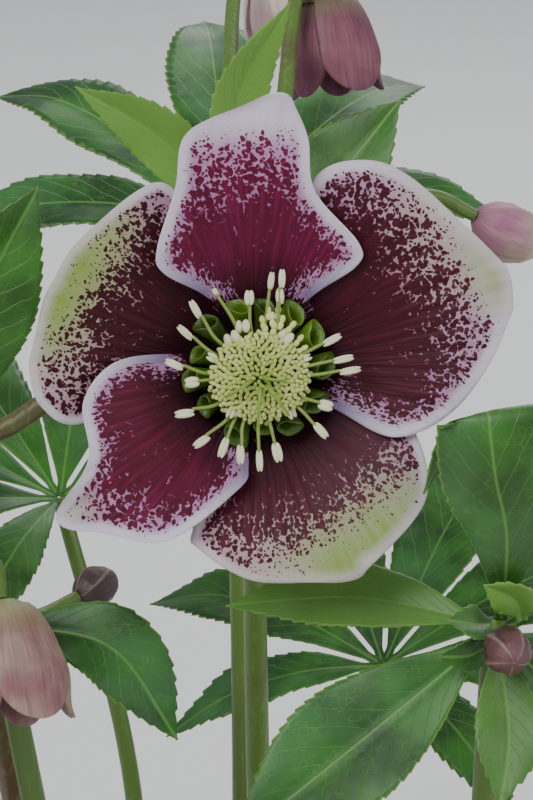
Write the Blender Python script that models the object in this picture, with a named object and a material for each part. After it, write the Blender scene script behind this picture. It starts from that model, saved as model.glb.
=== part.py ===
"""A hellebore in flower, standing in a plain clay pot.

Metres, +Z up. The origin is the middle of the pot's foot, on the surface that it stands on, and the
open flower faces -Y, tilted a little upwards. Leaves and sepals are blades of one thickness. Stems and
leaf stalks stand in plain round holes in the compost.
"""

import math
import random

import bmesh
import bpy
from mathutils import Vector

MM = 0.001
SEAT = 0.3 * MM
BLADE = 0.75 * MM
BRACT_FOLD = 0.22
TOOTH = 0.11
TOOTH_LEAN = 0.3
BLADE_BASE = 0.9 * MM
BLADE_TIP = 0.45 * MM

POT_HEIGHT = 130 * MM
POT_FOOT_RADIUS = 50 * MM
POT_NECK_RADIUS = 70 * MM
POT_RIM_RADIUS = 75 * MM
POT_RIM_HEIGHT = 24 * MM
POT_WALL = 6 * MM
POT_FLOOR = 8 * MM
POT_SIDES = 28
DRAIN_RADIUS = 5 * MM
DRAIN_OFFSET = 28 * MM
SOIL_TOP = 115 * MM
SOIL_RISE = 4 * MM
SOIL_LUMP = 1.5 * MM

ROOT_DEPTH = 22 * MM
ROOT_CLEARANCE = 0.55 * MM
STEM_RADIUS = 2.4 * MM
STALK_RADIUS = 1.7 * MM
PEDICEL_RADIUS = 1.6 * MM

# The open flower's middle, and how far its face is tilted up from the horizontal.
FLOWER_CENTRE = Vector((0.0, -0.055, 0.315))
FLOWER_TILT = math.radians(22)
RIGHT = Vector((1, 0, 0))
UP = Vector((0, math.sin(FLOWER_TILT), math.cos(FLOWER_TILT)))
TOWARD = Vector((0, -math.cos(FLOWER_TILT), math.sin(FLOWER_TILT)))

KNOB_RADIUS = 3.5 * MM
POST_RADIUS = 2.2 * MM
POST_TOP = 4.5
# The knob that carries the sepals: levels out of the flower in millimetres, and radii.
KNOB_LEVELS = [(-5.6, PEDICEL_RADIUS), (-3.4, POST_RADIUS), (-2.6, KNOB_RADIUS), (1.6, KNOB_RADIUS)]
SEPAL_BASE_RADIUS = 3.85
CUP_RADIUS = 34.0
CUP_HEIGHT = 10.0

# Each sepal: its layer towards the viewer, the curl of its margin, its two margins from base to tip,
# and its tip, all in millimetres across and up from the flower's middle.
SEPALS = {
    "sepal_top": dict(
        layer=1.2, curl=1.6,
        left=[(-2.5, 3), (-6.5, 10.2), (-13.4, 14.1), (-14.4, 17.6), (-11.6, 26.6), (-9.9, 34.4), (-0.5, 39)],
        right=[(2.5, 3), (8, 10.4), (15, 15.2), (15.2, 18.6), (8.8, 26.1), (7.8, 33.6), (5.6, 39)],
        tip=(3.6, 40.3)),
    "sepal_right": dict(
        layer=0.0, curl=0.0,
        left=[(0.5, 3.9), (4, 11), (5.5, 20), (9.4, 28.8), (16.5, 30.7), (23, 28.1), (31.4, 20.6),
              (36.4, 15.6)],
        right=[(2.4, -3), (7.5, -3.2), (12.5, -6.2), (20.5, -10), (28.4, -6.8), (34.4, 0.7), (37.9, 8.7)],
        tip=(37.6, 13.2)),
    "sepal_lower_right": dict(
        layer=-1.2, curl=-0.8,
        left=[(4, 0), (12, -1.5), (21, -6), (24.8, -12), (25.2, -19.2), (20, -26.1), (16.5, -28.6)],
        right=[(-1, -4), (-4, -12), (-9.2, -23.7), (-8.1, -26.6), (-0.5, -31.1), (9.5, -31.4)],
        tip=(15.0, -30.9)),
    "sepal_lower_left": dict(
        layer=1.2, curl=1.6,
        left=[(-1, -3.5), (-1.4, -8.7), (-0.9, -14.2), (-2.4, -17.7), (-12.9, -25.1), (-23.3, -23.7)],
        right=[(-3, 1), (-10.4, 2.3), (-20.3, 1.2), (-25.1, -4.8), (-24.3, -13.2), (-28.6, -20.2)],
        tip=(-28.1, -22.9)),
    "sepal_left": dict(
        layer=-1.2, curl=-0.8,
        left=[(-3.5, 0.5), (-12, -1), (-25.5, -8), (-31.5, -5.5), (-33.2, 0.2), (-32.3, 4.7)],
        right=[(-0.5, 3.9), (-4, 11), (-8, 20), (-12.4, 27), (-17.3, 26.3), (-26.3, 18.6), (-29.8, 12.7)],
        tip=(-31.3, 9.8)),
}
SEPAL_ROWS = 8
SEPAL_COLUMNS = 6

NECTARIES = 13
BOSS_MIDDLE = (0.7, -1.2)
BOSS_RADIUS = 7.0
BOSS_LEVEL = 8.0
BOSS_HEIGHT = 3.6
BOSS_BEADS = 50
# Where the long outer anthers lie, in millimetres across and up from the flower's middle.
LONG_ANTHERS = [
    (-11.8, 0.7), (-10, 5.2), (-8.6, 9), (-5.8, 11.5), (-0.8, 10.4), (3.7, 10.8), (3.1, 13.6), (11.4, 4.5),
    (13, 1.5), (14, -0.6), (10.5, -5.3), (9.7, -9), (3.4, -12.3), (0.7, -13.4), (-2, -12.3), (-4.6, -11.4),
    (-7.8, -10.7), (-10.4, -6.4), (-9.2, -1.8),
]
STYLE_ANGLES = (200, 262, 318, 20)

# The leafy flower stems. Roots and bends are world places in millimetres. All other places are view
# places: millimetres right, up and behind the flower's middle. A bract is its path, width and facing.
STEMS = {
    "flower_stem": dict(
        root=(-22, 4), bend=(-40, -10, 200), whorl=(-47, -12, 14),
        pedicels=[[(-38, -8.5, 14), (-31, -4.5, 13), (-24, -6.7, 13), (-10, -3, 9.5)]],
        bracts=[
            ([(-46, -9, 14), (-42, 10, 9), (-33, 28, 6)], 17, (0.2, 0.1, 0.95), 10),
            ([(-48, -12, 14), (-62, -5, 20), (-82, -12, 22)], 15, (0.1, 0.8, 0.6), 8),
            ([(-47, -11, 15), (-56, 8, 30), (-64, 20, 46)], 14, (-0.2, 0.6, 0.7), 8),
        ]),
    "right_stem": dict(
        root=(22, -14), bend=(34, -52, 200), whorl=(36, -39, 0),
        pedicels=[[(36.5, -40, -3)]],
        bracts=[
            ([(33, -36, 1), (15.7, -34.6, 5), (-4.5, -35.7, 4)], 11.5, (0, 0.5, 0.85), 10),
            ([(33, -42, 1), (18, -54, 0), (-4, -71, -5)], 19.5, (-0.2, 0.3, 0.9), 12),
            ([(36.7, -44, 1), (37.8, -54, -3), (36.3, -65, -5)], 10.5, (0, 0.2, 0.95), 10),
            ([(39, -34, -1), (38.5, -24, -11), (37, -12.5, -16), (31, -7.5, -17), (26, -11, -16),
              (24.5, -19, -14)], 17, (0, 0.1, 0.98), 12),
            ([(41, -38, -1), (54, -32, 3), (70, -38, 6)], 14, (0.1, 0.6, 0.75), 8),
            ([(40, -43, 0), (52, -56, 0), (60, -74, -2)], 15, (0.2, 0.3, 0.9), 8),
        ]),
    "back_stem": dict(
        root=(2, 18), bend=(0, 12, 220), whorl=(-0.8, 20, 30),
        pedicels=[
            [(4, 40, 40), (6.5, 62, 52), (10, 71.5, 57), (11.2, 65.4, 58)],
            [(14, 26, 36), (28, 29, 42), (36, 26, 45)],
            [(-4, 40, 52), (-4, 66, 76), (0, 79.5, 83), (2.5, 74.5, 86)],
        ],
        bracts=[
            ([(-3, 22, 29), (-14, 36, 27), (-28.5, 45, 24)], 10, (-0.3, 0.4, 0.85), 10),
            ([(-2, 24, 27), (-3, 42, 24), (5.5, 58, 20)], 9.5, (0.3, 0.1, 0.95), 10),
            ([(2, 23, 28), (12, 30, 27), (23, 43, 25)], 15, (-0.1, 0.3, 0.95), 10),
            ([(3, 17, 36), (18, 10, 62), (28, 4, 84)], 14, (0, 0.9, 0.4), 8),
            ([(-4, 18, 36), (-18, 12, 58), (-30, 6, 78)], 14, (0, 0.9, 0.4), 8),
        ]),
    "left_stem": dict(
        root=(-12, -20), bend=(-28, -46, 190), whorl=(-40, -40, 16),
        pedicels=[
            [(-44, -33, 13), (-43, -29, 8), (-39.5, -29.5, 5), (-38.5, -34.5, 4)],
            [(-33.5, -38.5, 23), (-28.6, -36, 28)],
        ],
        bracts=[
            ([(-37, -38, 16), (-22.5, -42.8, 14), (-12, -57, 13)], 13.5, (0.1, 0.4, 0.9), 10),
            ([(-43, -41, 17), (-58, -42, 22), (-74, -54, 22)], 14, (-0.1, 0.6, 0.75), 8),
            ([(-42, -44, 16), (-46, -58, 14), (-44, -74, 10)], 13, (0, 0.2, 0.95), 8),
        ]),
}

# Closed buds: the stem and pedicel that carry each, its length and its widest radius in millimetres.
BUDS = {
    "right_bud": dict(stem="right_stem", pedicel=0, length=9, radius=3.7),
    "upper_bud": dict(stem="back_stem", pedicel=1, length=13, radius=5.0),
    "lower_left_bud": dict(stem="left_stem", pedicel=1, length=8.5, radius=3.4),
}
# Half-open nodding blooms: the stem and pedicel that carry each, its length and its widest radius.
BLOOMS = {
    "mauve_bloom": dict(stem="back_stem", pedicel=0, length=18, radius=7.4),
    "pale_bloom": dict(stem="back_stem", pedicel=2, length=17, radius=7.4),
    "left_bloom": dict(stem="left_stem", pedicel=0, length=19, radius=7.8),
}
# The petals of a half-open bloom lie in three layers, so that each passes clear of its neighbours.
BLOOM_LAYERS = (0, 1, 0, 1, 2)
BLOOM_LAYER_STEP = 1.05 * MM
BLOOM_CUP_RADIUS = 4.6 * MM
BLOOM_CUP_FOOT = 1.9 * MM
BLOOM_CUP_HEIGHT = 2.2 * MM
BLOOM_BASE_RADIUS = 2.2 * MM
BLOOM_ANTHERS = 6
PETAL_START = 1.0 * MM
PETAL_SPREAD = math.radians(47)
PETAL_STEPS = 3

# Basal leaves: the direction of each, the radius and height of its hub, a factor on its size, and how
# much it rises outwards. The leaves behind the flower stand up and show their faces to the front.
BASAL_LEAVES = [
    (10, 88, 190, 1.1, -0.22), (62, 52, 214, 1.1, 0.5), (95, 62, 298, 1.05, 0.5), (130, 58, 250, 1.05, 0.5),
    (174, 86, 282, 1.0, -0.22), (212, 88, 204, 1.08, -0.22), (252, 84, 152, 0.9, -0.22),
    (292, 88, 186, 0.95, -0.22), (334, 92, 160, 1.1, -0.22),
]
BASAL_ROOT_RADIUS = 36
HUB_RADIUS = 4.5 * MM
HUB_THICK = 1.8 * MM
# The seven leaflets of a leaf: the angle of each from the middle one, its length, its width and how
# many steps its toothed edge has.
LEAFLETS = [
    (0, 66, 19, 7), (-41, 60, 17, 7), (41, 60, 17, 7), (-81, 50, 14, 5), (81, 50, 14, 5),
    (-121, 37, 11, 4), (121, 37, 11, 4),
]


def material(name, colour, roughness):
    """A plain finish with one colour."""
    finish = bpy.data.materials.new(name)
    finish.use_nodes = True
    shader = finish.node_tree.nodes["Principled BSDF"]
    shader.inputs["Base Color"].default_value = (*colour, 1)
    shader.inputs["Roughness"].default_value = roughness
    shader.inputs["Metallic"].default_value = 0.0
    return finish


def view_place(place):
    """World place of a point given right, up and behind the flower's middle, in millimetres."""
    across, up, behind = place
    return FLOWER_CENTRE + (RIGHT * across + UP * up - TOWARD * behind) * MM


def view_direction(direction):
    """World direction of one given right, up and towards the viewer."""
    across, up, toward = direction
    return (RIGHT * across + UP * up + TOWARD * toward).normalized()


def on_flower(across, up, toward):
    """World place of a point of the open flower, in millimetres."""
    return view_place((across, up, -toward))


def closed_piece(points, faces):
    """An object from points and faces, its faces turned outwards."""
    shape = bmesh.new()
    corners = [shape.verts.new(point) for point in points]
    for face in faces:
        shape.faces.new([corners[index] for index in face])
    bmesh.ops.recalc_face_normals(shape, faces=shape.faces)
    mesh = bpy.data.meshes.new("piece")
    shape.to_mesh(mesh)
    shape.free()
    piece = bpy.data.objects.new("piece", mesh)
    bpy.context.scene.collection.objects.link(piece)
    return piece


def boolean(base, others, operation, solver):
    """Join others to the base, or cut them from it, and remove them."""
    group = bpy.data.collections.new("operands")
    bpy.context.scene.collection.children.link(group)
    for other in others:
        bpy.context.scene.collection.objects.unlink(other)
        group.objects.link(other)
    step = base.modifiers.new("step", "BOOLEAN")
    step.operation = operation
    step.solver = solver
    step.operand_type = "COLLECTION"
    step.collection = group
    depsgraph = bpy.context.evaluated_depsgraph_get()
    result = bpy.data.meshes.new_from_object(base.evaluated_get(depsgraph))
    base.modifiers.clear()
    base.data = result
    for other in others:
        bpy.data.objects.remove(other)
    bpy.data.collections.remove(group)


def finish_node(name, pieces, finish, solver="EXACT"):
    """One named solid, fused from closed pieces that overlap."""
    node = pieces[0]
    if len(pieces) > 1:
        boolean(node, pieces[1:], "UNION", solver)
    node.name = name
    node.data.name = name
    node.data.materials.clear()
    node.data.materials.append(finish)
    return node


def smooth_path(points, count):
    """Points spread evenly along a smooth curve through the given ones."""
    fine = 12
    ends = [points[0] * 2 - points[1], *points, points[-1] * 2 - points[-2]]
    curve = []
    for a, b, c, d in zip(ends, ends[1:], ends[2:], ends[3:]):
        for step in range(fine):
            t = step / fine
            curve.append((b * 2 + (c - a) * t + (a * 2 - b * 5 + c * 4 - d) * t**2
                          + (b * 3 - a - c * 3 + d) * t**3) * 0.5)
    curve.append(points[-1].copy())
    lengths = [0.0]
    for start, end in zip(curve, curve[1:]):
        lengths.append(lengths[-1] + (end - start).length)
    spread, index = [], 0
    for number in range(count):
        target = lengths[-1] * number / (count - 1)
        while index < len(curve) - 2 and lengths[index + 1] < target:
            index += 1
        part = (target - lengths[index]) / (lengths[index + 1] - lengths[index])
        spread.append(curve[index].lerp(curve[index + 1], part))
    return spread


def directions(path):
    """The direction of travel at each point of a path."""
    last = len(path) - 1
    return [(path[min(i + 1, last)] - path[max(i - 1, 0)]).normalized() for i in range(last + 1)]


def around(axis):
    """A function that gives the direction out from an axis at an angle."""
    side = axis.orthogonal().normalized()
    other = axis.cross(side)
    return lambda angle: side * math.cos(angle) + other * math.sin(angle)


def tube(path, radii, sides):
    """A closed round bar along a path, with a radius at each point."""
    points, side = [], None
    for place, ahead, radius in zip(path, directions(path), radii):
        side = ahead.orthogonal() if side is None else side - ahead * side.dot(ahead)
        side.normalize()
        other = ahead.cross(side)
        for number in range(sides):
            angle = math.tau * number / sides
            points.append(place + (side * math.cos(angle) + other * math.sin(angle)) * radius)
    faces = [tuple(range(sides)), tuple(range(len(points) - sides, len(points)))]
    for ring in range(len(path) - 1):
        for number in range(sides):
            a, b = ring * sides + number, ring * sides + (number + 1) % sides
            faces.append((a, b, b + sides, a + sides))
    return closed_piece(points, faces)


def lathe(profile, sides):
    """A solid turned round the Z axis from (radius, height) points that start and end on the axis."""
    points = [Vector((0, 0, profile[0][1])), Vector((0, 0, profile[-1][1]))]
    for radius, height in profile[1:-1]:
        for number in range(sides):
            angle = math.tau * number / sides
            points.append(Vector((radius * math.cos(angle), radius * math.sin(angle), height)))
    faces = []
    last_ring = len(points) - sides
    for number in range(sides):
        after = (number + 1) % sides
        faces.append((0, 2 + number, 2 + after))
        faces.append((1, last_ring + number, last_ring + after))
        for ring in range(2, last_ring, sides):
            faces.append((ring + number, ring + after, ring + sides + after, ring + sides + number))
    return points, faces


def oval(middle, axis, length, radius, sides=4):
    """A small closed oval body: two rings and two ends, longest along its axis."""
    axis = axis.normalized()
    out_at = around(axis)
    points = [middle - axis * length / 2, middle + axis * length / 2]
    for level in (-0.22, 0.22):
        for number in range(sides):
            points.append(middle + axis * length * level + out_at(math.tau * number / sides) * radius)
    faces = []
    for number in range(sides):
        after = (number + 1) % sides
        faces.append((0, 2 + number, 2 + after))
        faces.append((1, 2 + sides + number, 2 + sides + after))
        faces.append((2 + number, 2 + after, 2 + sides + after, 2 + sides + number))
    return closed_piece(points, faces)


def blade_width(along):
    """Share of a leaf's full width at a share of its length."""
    return math.sin(math.pi * along**1.1) ** 1.1


def leaf_blade(path, width, facing, segments, fold=BRACT_FOLD):
    """A toothed blade along a path, its upper side facing, flat or folded along its midrib."""
    columns = (-1, 0, 1) if fold else (-1, 1)
    corners = 2 * len(columns)
    centres = smooth_path(path, segments + 1)
    ahead_list = directions(centres)
    spacing = (centres[1] - centres[0]).length
    side = ahead_list[0].cross(facing)
    points = []
    for station, (centre, ahead) in enumerate(zip(centres, ahead_list)):
        side = (side - ahead * side.dot(ahead)).normalized()
        lift = side.cross(ahead)
        along = station / segments
        half = width / 2 * blade_width(along) if 0 < station < segments else 0.0
        forward = 0.0
        if 0 < station < segments:
            pointed = station % 2 == 1
            half *= 1 + TOOTH if pointed else 1 - TOOTH
            forward = spacing * TOOTH_LEAN if pointed else 0.0
        half = max(half, BLADE_BASE if station == 0 else BLADE_TIP)
        spread = [centre + side * half * column + (lift * half * fold + ahead * forward) * abs(column)
                  for column in columns]
        points += [place + lift * BLADE / 2 for place in spread]
        points += [place - lift * BLADE / 2 for place in reversed(spread)]
    faces = []
    for end in (0, segments * corners):
        for column in range(len(columns) - 1):
            under = end + corners - 1 - column
            faces.append((end + column, end + column + 1, under - 1, under))
    for station in range(segments):
        a, b = station * corners, (station + 1) * corners
        strips = []
        for column in range(len(columns) - 1):
            strips.append((column, column + 1))
            strips.append((corners - 1 - column, corners - 2 - column))
        strips += [(len(columns) - 1, len(columns)), (corners - 1, 0)]
        for first, second in strips:
            faces.append((a + first, a + second, b + second))
            faces.append((a + first, b + second, b + first))
    return closed_piece(points, faces)


def hole_cutter(root, radius):
    """A plain round hole in the compost for a stem that stands at root."""
    profile = [(0, SOIL_TOP - ROOT_DEPTH - SEAT), (radius, SOIL_TOP - ROOT_DEPTH - SEAT),
               (radius, SOIL_TOP + 3 * SOIL_RISE), (0, SOIL_TOP + 3 * SOIL_RISE)]
    points, faces = lathe(profile, 8)
    return closed_piece([point + root for point in points], faces)


def root_path(root):
    """The straight lower end of a stem, from the foot of its hole to just above the compost."""
    x, y = root
    return [Vector((x, y, 0)) * MM + Vector((0, 0, height))
            for height in (SOIL_TOP - ROOT_DEPTH, SOIL_TOP - ROOT_DEPTH / 2, SOIL_TOP + 8 * MM)]


def pot(finish):
    """The clay pot: a turned shell with a thick rim and three drain holes."""
    rim_bottom = POT_HEIGHT - POT_RIM_HEIGHT
    profile = [
        (0, 0), (POT_FOOT_RADIUS, 0), (POT_NECK_RADIUS - 2 * MM, rim_bottom),
        (POT_RIM_RADIUS, rim_bottom + MM), (POT_RIM_RADIUS, POT_HEIGHT),
        (pot_inside(POT_HEIGHT), POT_HEIGHT), (pot_inside(POT_FLOOR), POT_FLOOR), (0, POT_FLOOR),
    ]
    shell = closed_piece(*lathe(profile, POT_SIDES))
    drains = []
    for number in range(3):
        angle = math.tau * number / 3
        middle = Vector((math.cos(angle), math.sin(angle), 0)) * DRAIN_OFFSET
        points, faces = lathe([(0, -MM), (DRAIN_RADIUS, -MM), (DRAIN_RADIUS, POT_FLOOR + MM),
                               (0, POT_FLOOR + MM)], 12)
        drains.append(closed_piece([point + middle for point in points], faces))
    boolean(shell, drains, "DIFFERENCE", "EXACT")
    return finish_node("pot", [shell], finish)


def pot_inside(height):
    """The inner radius of the pot at a height."""
    return POT_FOOT_RADIUS + (POT_NECK_RADIUS - POT_FOOT_RADIUS) * height / POT_HEIGHT - POT_WALL


def compost(roots, finish):
    """The compost that fills the pot, lumpy on top, with a hole for each stem."""
    low, high = POT_FLOOR + SEAT, SOIL_TOP
    edge = pot_inside(high) - SEAT
    profile = [(0, low), (pot_inside(low) - SEAT, low), (edge, high),
               (edge * 0.75, high + SOIL_RISE * 0.6), (edge * 0.47, high + SOIL_RISE), (0, high + SOIL_RISE)]
    points, faces = lathe(profile, POT_SIDES)
    draw = random.Random(7)
    for point in points:
        if point.z > high + SOIL_RISE / 2:
            point.z += draw.uniform(-SOIL_LUMP, SOIL_LUMP)
    heap = closed_piece(points, faces)
    cutters = [hole_cutter(Vector((x, y, 0)) * MM, radius + ROOT_CLEARANCE) for (x, y), radius in roots]
    boolean(heap, cutters, "DIFFERENCE", "EXACT")
    return finish_node("compost", [heap], finish)


def sheet(fronts, backs, rows, columns):
    """A closed sheet from a front and a back grid, split into triangles alike on both sides."""
    count, wide = len(fronts), columns + 1
    faces = []
    for row in range(rows):
        for column in range(columns):
            a = row * wide + column
            for triangle in ((a, a + 1, a + wide + 1), (a, a + wide + 1, a + wide)):
                faces.append(triangle)
                faces.append(tuple(count + corner for corner in reversed(triangle)))
    rim = list(range(wide)) + [row * wide + columns for row in range(1, rows + 1)]
    rim += [rows * wide + column for column in range(columns - 1, -1, -1)]
    rim += [row * wide for row in range(rows - 1, 0, -1)]
    for a, b in zip(rim, rim[1:] + rim[:1]):
        faces += [(a, b, count + b), (a, count + b, count + a)]
    return closed_piece(fronts + backs, faces)


def sepal(name, form, finish):
    """One sepal: a grid between its two margins, cupped towards the viewer, BLADE thick."""
    margins = [smooth_path([Vector(point) for point in form[side]], SEPAL_ROWS + 1)
               for side in ("left", "right")]
    tip = Vector(form["tip"])
    middle_end = (margins[0][-1] + margins[1][-1]) / 2
    fronts, backs = [], []
    for row in range(SEPAL_ROWS + 1):
        along = row / SEPAL_ROWS
        for column in range(SEPAL_COLUMNS + 1):
            over = column / SEPAL_COLUMNS
            flat = margins[0][row].lerp(margins[1][row], over)
            flat += (tip - middle_end) * along**4 * 4 * over * (1 - over)
            radius = max(flat.length, SEPAL_BASE_RADIUS)
            flat = flat.normalized() * radius
            cup = CUP_HEIGHT * (1 - math.cos(math.pi * min(radius / CUP_RADIUS, 1))) / 2
            edge = max(abs(2 * over - 1), along**6)
            height = form["layer"] + cup + form["curl"] * along * edge**3
            half = BLADE / 2 / MM
            fronts.append(on_flower(flat.x, flat.y, height + half))
            backs.append(on_flower(flat.x, flat.y, height - half))
    return finish_node(name, [sheet(fronts, backs, SEPAL_ROWS, SEPAL_COLUMNS)], finish)


def flower_ring(rings, sides):
    """A closed ring round the flower's axis from (radius, level, shift) points of its section."""
    points = []
    for radius, level, shift in rings:
        for number in range(sides):
            angle = math.tau * number / sides
            across = radius * math.cos(angle) + BOSS_MIDDLE[0] * shift
            up = radius * math.sin(angle) + BOSS_MIDDLE[1] * shift
            points.append(on_flower(across, up, level))
    faces = []
    for ring in range(len(rings)):
        following = (ring + 1) % len(rings)
        for number in range(sides):
            after = (number + 1) % sides
            faces.append((ring * sides + number, ring * sides + after,
                          following * sides + after, following * sides + number))
    return closed_piece(points, faces)


def nectaries(finish):
    """Green tubular nectaries on a ring between the sepals and the stamens."""
    pieces = [flower_ring([(2.55, 2.4, 0), (4.6, 2.4, 0), (4.6, 3.5, 0), (2.55, 3.5, 0)], 13)]
    for number in range(NECTARIES):
        angle = math.tau * number / NECTARIES
        out = (math.cos(angle), math.sin(angle))
        path = [on_flower(out[0] * radius, out[1] * radius, level)
                for radius, level in ((3.6, 3.0), (6.2, 4.1), (8.9, 5.5))]
        pieces.append(tube(path, [0.6 * MM, 0.95 * MM, 1.15 * MM], 5))
    return finish_node("nectaries", pieces, finish)


def boss_level(part):
    """Height of the anther boss at a share of its radius."""
    return BOSS_LEVEL + BOSS_HEIGHT * math.sqrt(max(0.0, 1 - part**2))


def stamens(finish):
    """The boss of packed anthers, with the long outer stamens round it."""
    rings = [(1.7, 4.85, 0), (3.4, 4.85, 0), (5.2, 6.4, 0.7), (BOSS_RADIUS, 7.6, 1)]
    rings += [(BOSS_RADIUS * part, boss_level(part), part) for part in (0.92, 0.72, 0.5)]
    rings.append((1.7, boss_level(0.3), 0))
    pieces = [flower_ring(rings, 14)]
    turn = math.pi * (3 - math.sqrt(5))
    for number in range(1, BOSS_BEADS + 1):
        part = 0.37 + 0.63 * math.sqrt(number / BOSS_BEADS)
        angle = number * turn
        across = (BOSS_MIDDLE[0] + BOSS_RADIUS * math.cos(angle)) * part
        up = (BOSS_MIDDLE[1] + BOSS_RADIUS * math.sin(angle)) * part
        middle = on_flower(across, up, boss_level(part))
        outward = on_flower(part * math.cos(angle), part * math.sin(angle), 1.1) - FLOWER_CENTRE
        pieces.append(oval(middle, outward, 2.6 * MM, 0.74 * MM, 4))
    for across, up in LONG_ANTHERS:
        reach = math.hypot(across, up)
        out = (across / reach, up / reach)
        start = on_flower(out[0] * 4.6 + BOSS_MIDDLE[0] * 0.7, out[1] * 4.6 + BOSS_MIDDLE[1] * 0.7, 7.3)
        neck = on_flower(out[0] * reach * 0.72, out[1] * reach * 0.72, 9.4)
        end = on_flower(across, up, 9.6)
        pieces.append(tube([start, neck, end], [0.45 * MM] * 3, 3))
        pieces.append(oval(end, end - neck, 3.2 * MM, 0.68 * MM, 4))
    return finish_node("stamens", pieces, finish)


def carpels(finish):
    """The carpels' green bundle on the flower's axis, with four styles that fan out over the boss."""
    core = tube([on_flower(0, 0, level) for level in (4.8, 13.0)], [1.2 * MM] * 2, 8)
    pieces = [core]
    for degrees in STYLE_ANGLES:
        out = (math.cos(math.radians(degrees)), math.sin(math.radians(degrees)))
        path = [on_flower(out[0] * radius, out[1] * radius, level)
                for radius, level in ((0.2, 12.2), (1.4, 13.9), (4.0, 14.2), (6.6, 13.4))]
        pieces.append(tube(path, [0.6 * MM, 0.5 * MM, 0.42 * MM, 0.35 * MM], 5))
    return finish_node("carpels", pieces, finish)


def leafy_stem(name, form, finish):
    """A flower stem with its pedicels and bracts. Returns the end and direction of each pedicel."""
    whorl = view_place(form["whorl"])
    straight = root_path(form["root"])
    main = straight[:2] + smooth_path([straight[2], Vector(form["bend"]) * MM, whorl], 7)
    pieces = [tube(main, [STEM_RADIUS] * 6 + [STEM_RADIUS * 0.9, STEM_RADIUS * 0.85, STEM_RADIUS * 0.8], 8)]
    pieces.append(oval(whorl, whorl - main[-2], 8 * MM, STEM_RADIUS * 1.15, 6))
    ends = []
    for pedicel in form["pedicels"]:
        path = [whorl] + [view_place(place) for place in pedicel]
        if name == "flower_stem":
            path.append(on_flower(0, 0, -5))
        steps = max(3, 3 * len(path) - 2)
        path = smooth_path(path, steps)
        pieces.append(tube(path, [PEDICEL_RADIUS] * steps, 6))
        ends.append((path[-1], (path[-1] - path[-2]).normalized()))
    for path, width, facing, segments in form["bracts"]:
        places = [whorl + (view_place(path[0]) - whorl) * 0.3] + [view_place(place) for place in path[1:]]
        pieces.append(leaf_blade(places, width * MM, view_direction(facing), segments))
    if name == "flower_stem":
        pieces.append(tube([on_flower(0, 0, level) for level, _ in KNOB_LEVELS],
                           [radius for _, radius in KNOB_LEVELS], 16))
        pieces.append(tube([on_flower(0, 0, level) for level in (0, POST_TOP)], [POST_RADIUS] * 2, 12))
    finish_node(name, pieces, finish, "MANIFOLD")
    return ends


def round_body(base, axis, length, radii, sides, ridge=0.0):
    """A closed bud body: rings of the given radii along its axis, with five shallow ridges."""
    out_at = around(axis)
    points = []
    for ring, radius in enumerate(radii):
        for number in range(sides):
            angle = math.tau * number / sides
            bulge = radius * (1 + ridge * math.cos(5 * angle))
            points.append(base + axis * length * ring / (len(radii) - 1) + out_at(angle) * bulge)
    faces = [tuple(range(sides)), tuple(range(len(points) - sides, len(points)))]
    for ring in range(len(radii) - 1):
        for number in range(sides):
            a, b = ring * sides + number, ring * sides + (number + 1) % sides
            faces.append((a, b, b + sides, a + sides))
    return closed_piece(points, faces)


def bud(name, end, form, finish):
    """A closed round bud on the end of its pedicel."""
    place, ahead = end
    widest = form["radius"] * MM
    radii = [widest * share for share in (0.42, 0.8, 1.0, 0.97, 0.74, 0.22)]
    piece = round_body(place + ahead * SEAT, ahead, form["length"] * MM, radii, 10, ridge=0.06)
    return finish_node(name, [piece], finish)


def bloom_petal(base, axis, out_at, form, middle, outward):
    """One petal of a nodding bloom, its tip drawn in towards the axis."""
    widest = form["radius"] * MM
    length = form["length"] * MM - PETAL_START
    inner, outer = [], []
    for row in range(PETAL_STEPS + 1):
        along = row / PETAL_STEPS
        swell = math.sin(math.pi * min(1.0, along * 1.15) / 2) ** 0.7
        radius = BLOOM_BASE_RADIUS + (widest - BLOOM_BASE_RADIUS) * swell
        radius *= 1 - 0.13 * max(0.0, along - 0.6) / 0.4
        spread = PETAL_SPREAD * (1 - 0.75 * along**4)
        centre = base + axis * (PETAL_START + length * along)
        for column in range(PETAL_STEPS + 1):
            out = out_at(middle + spread * (2 * column / PETAL_STEPS - 1))
            inner.append(centre + out * (radius + outward - BLADE / 2))
            outer.append(centre + out * (radius + outward + BLADE / 2))
    return sheet(inner, outer, PETAL_STEPS, PETAL_STEPS)


def bloom(name, end, form, petal_finish, stamen_finish):
    """A half-open nodding bloom: five overlapping petals on a small cup, with stamens inside."""
    place, axis = end
    out_at = around(axis)
    base = place + axis * SEAT
    pieces = [round_body(base, axis, BLOOM_CUP_HEIGHT, [BLOOM_CUP_FOOT, BLOOM_CUP_RADIUS], 10)]
    for number, layer in enumerate(BLOOM_LAYERS):
        middle = math.tau * number / len(BLOOM_LAYERS)
        pieces.append(bloom_petal(base, axis, out_at, form, middle, BLOOM_LAYER_STEP * layer))
    finish_node(name, pieces, petal_finish)
    heart = base + axis * (BLOOM_CUP_HEIGHT + SEAT)
    cluster = [round_body(heart, axis, 4 * MM, [1.5 * MM, 2.2 * MM, 1.2 * MM], 8)]
    for number in range(BLOOM_ANTHERS):
        out = out_at(math.tau * number / BLOOM_ANTHERS)
        middle = heart + axis * 4.6 * MM + out * 1.9 * MM
        cluster.append(oval(middle, axis + out * 0.4, 4.4 * MM, 0.7 * MM))
    finish_node(name + "_stamens", cluster, stamen_finish)


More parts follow.
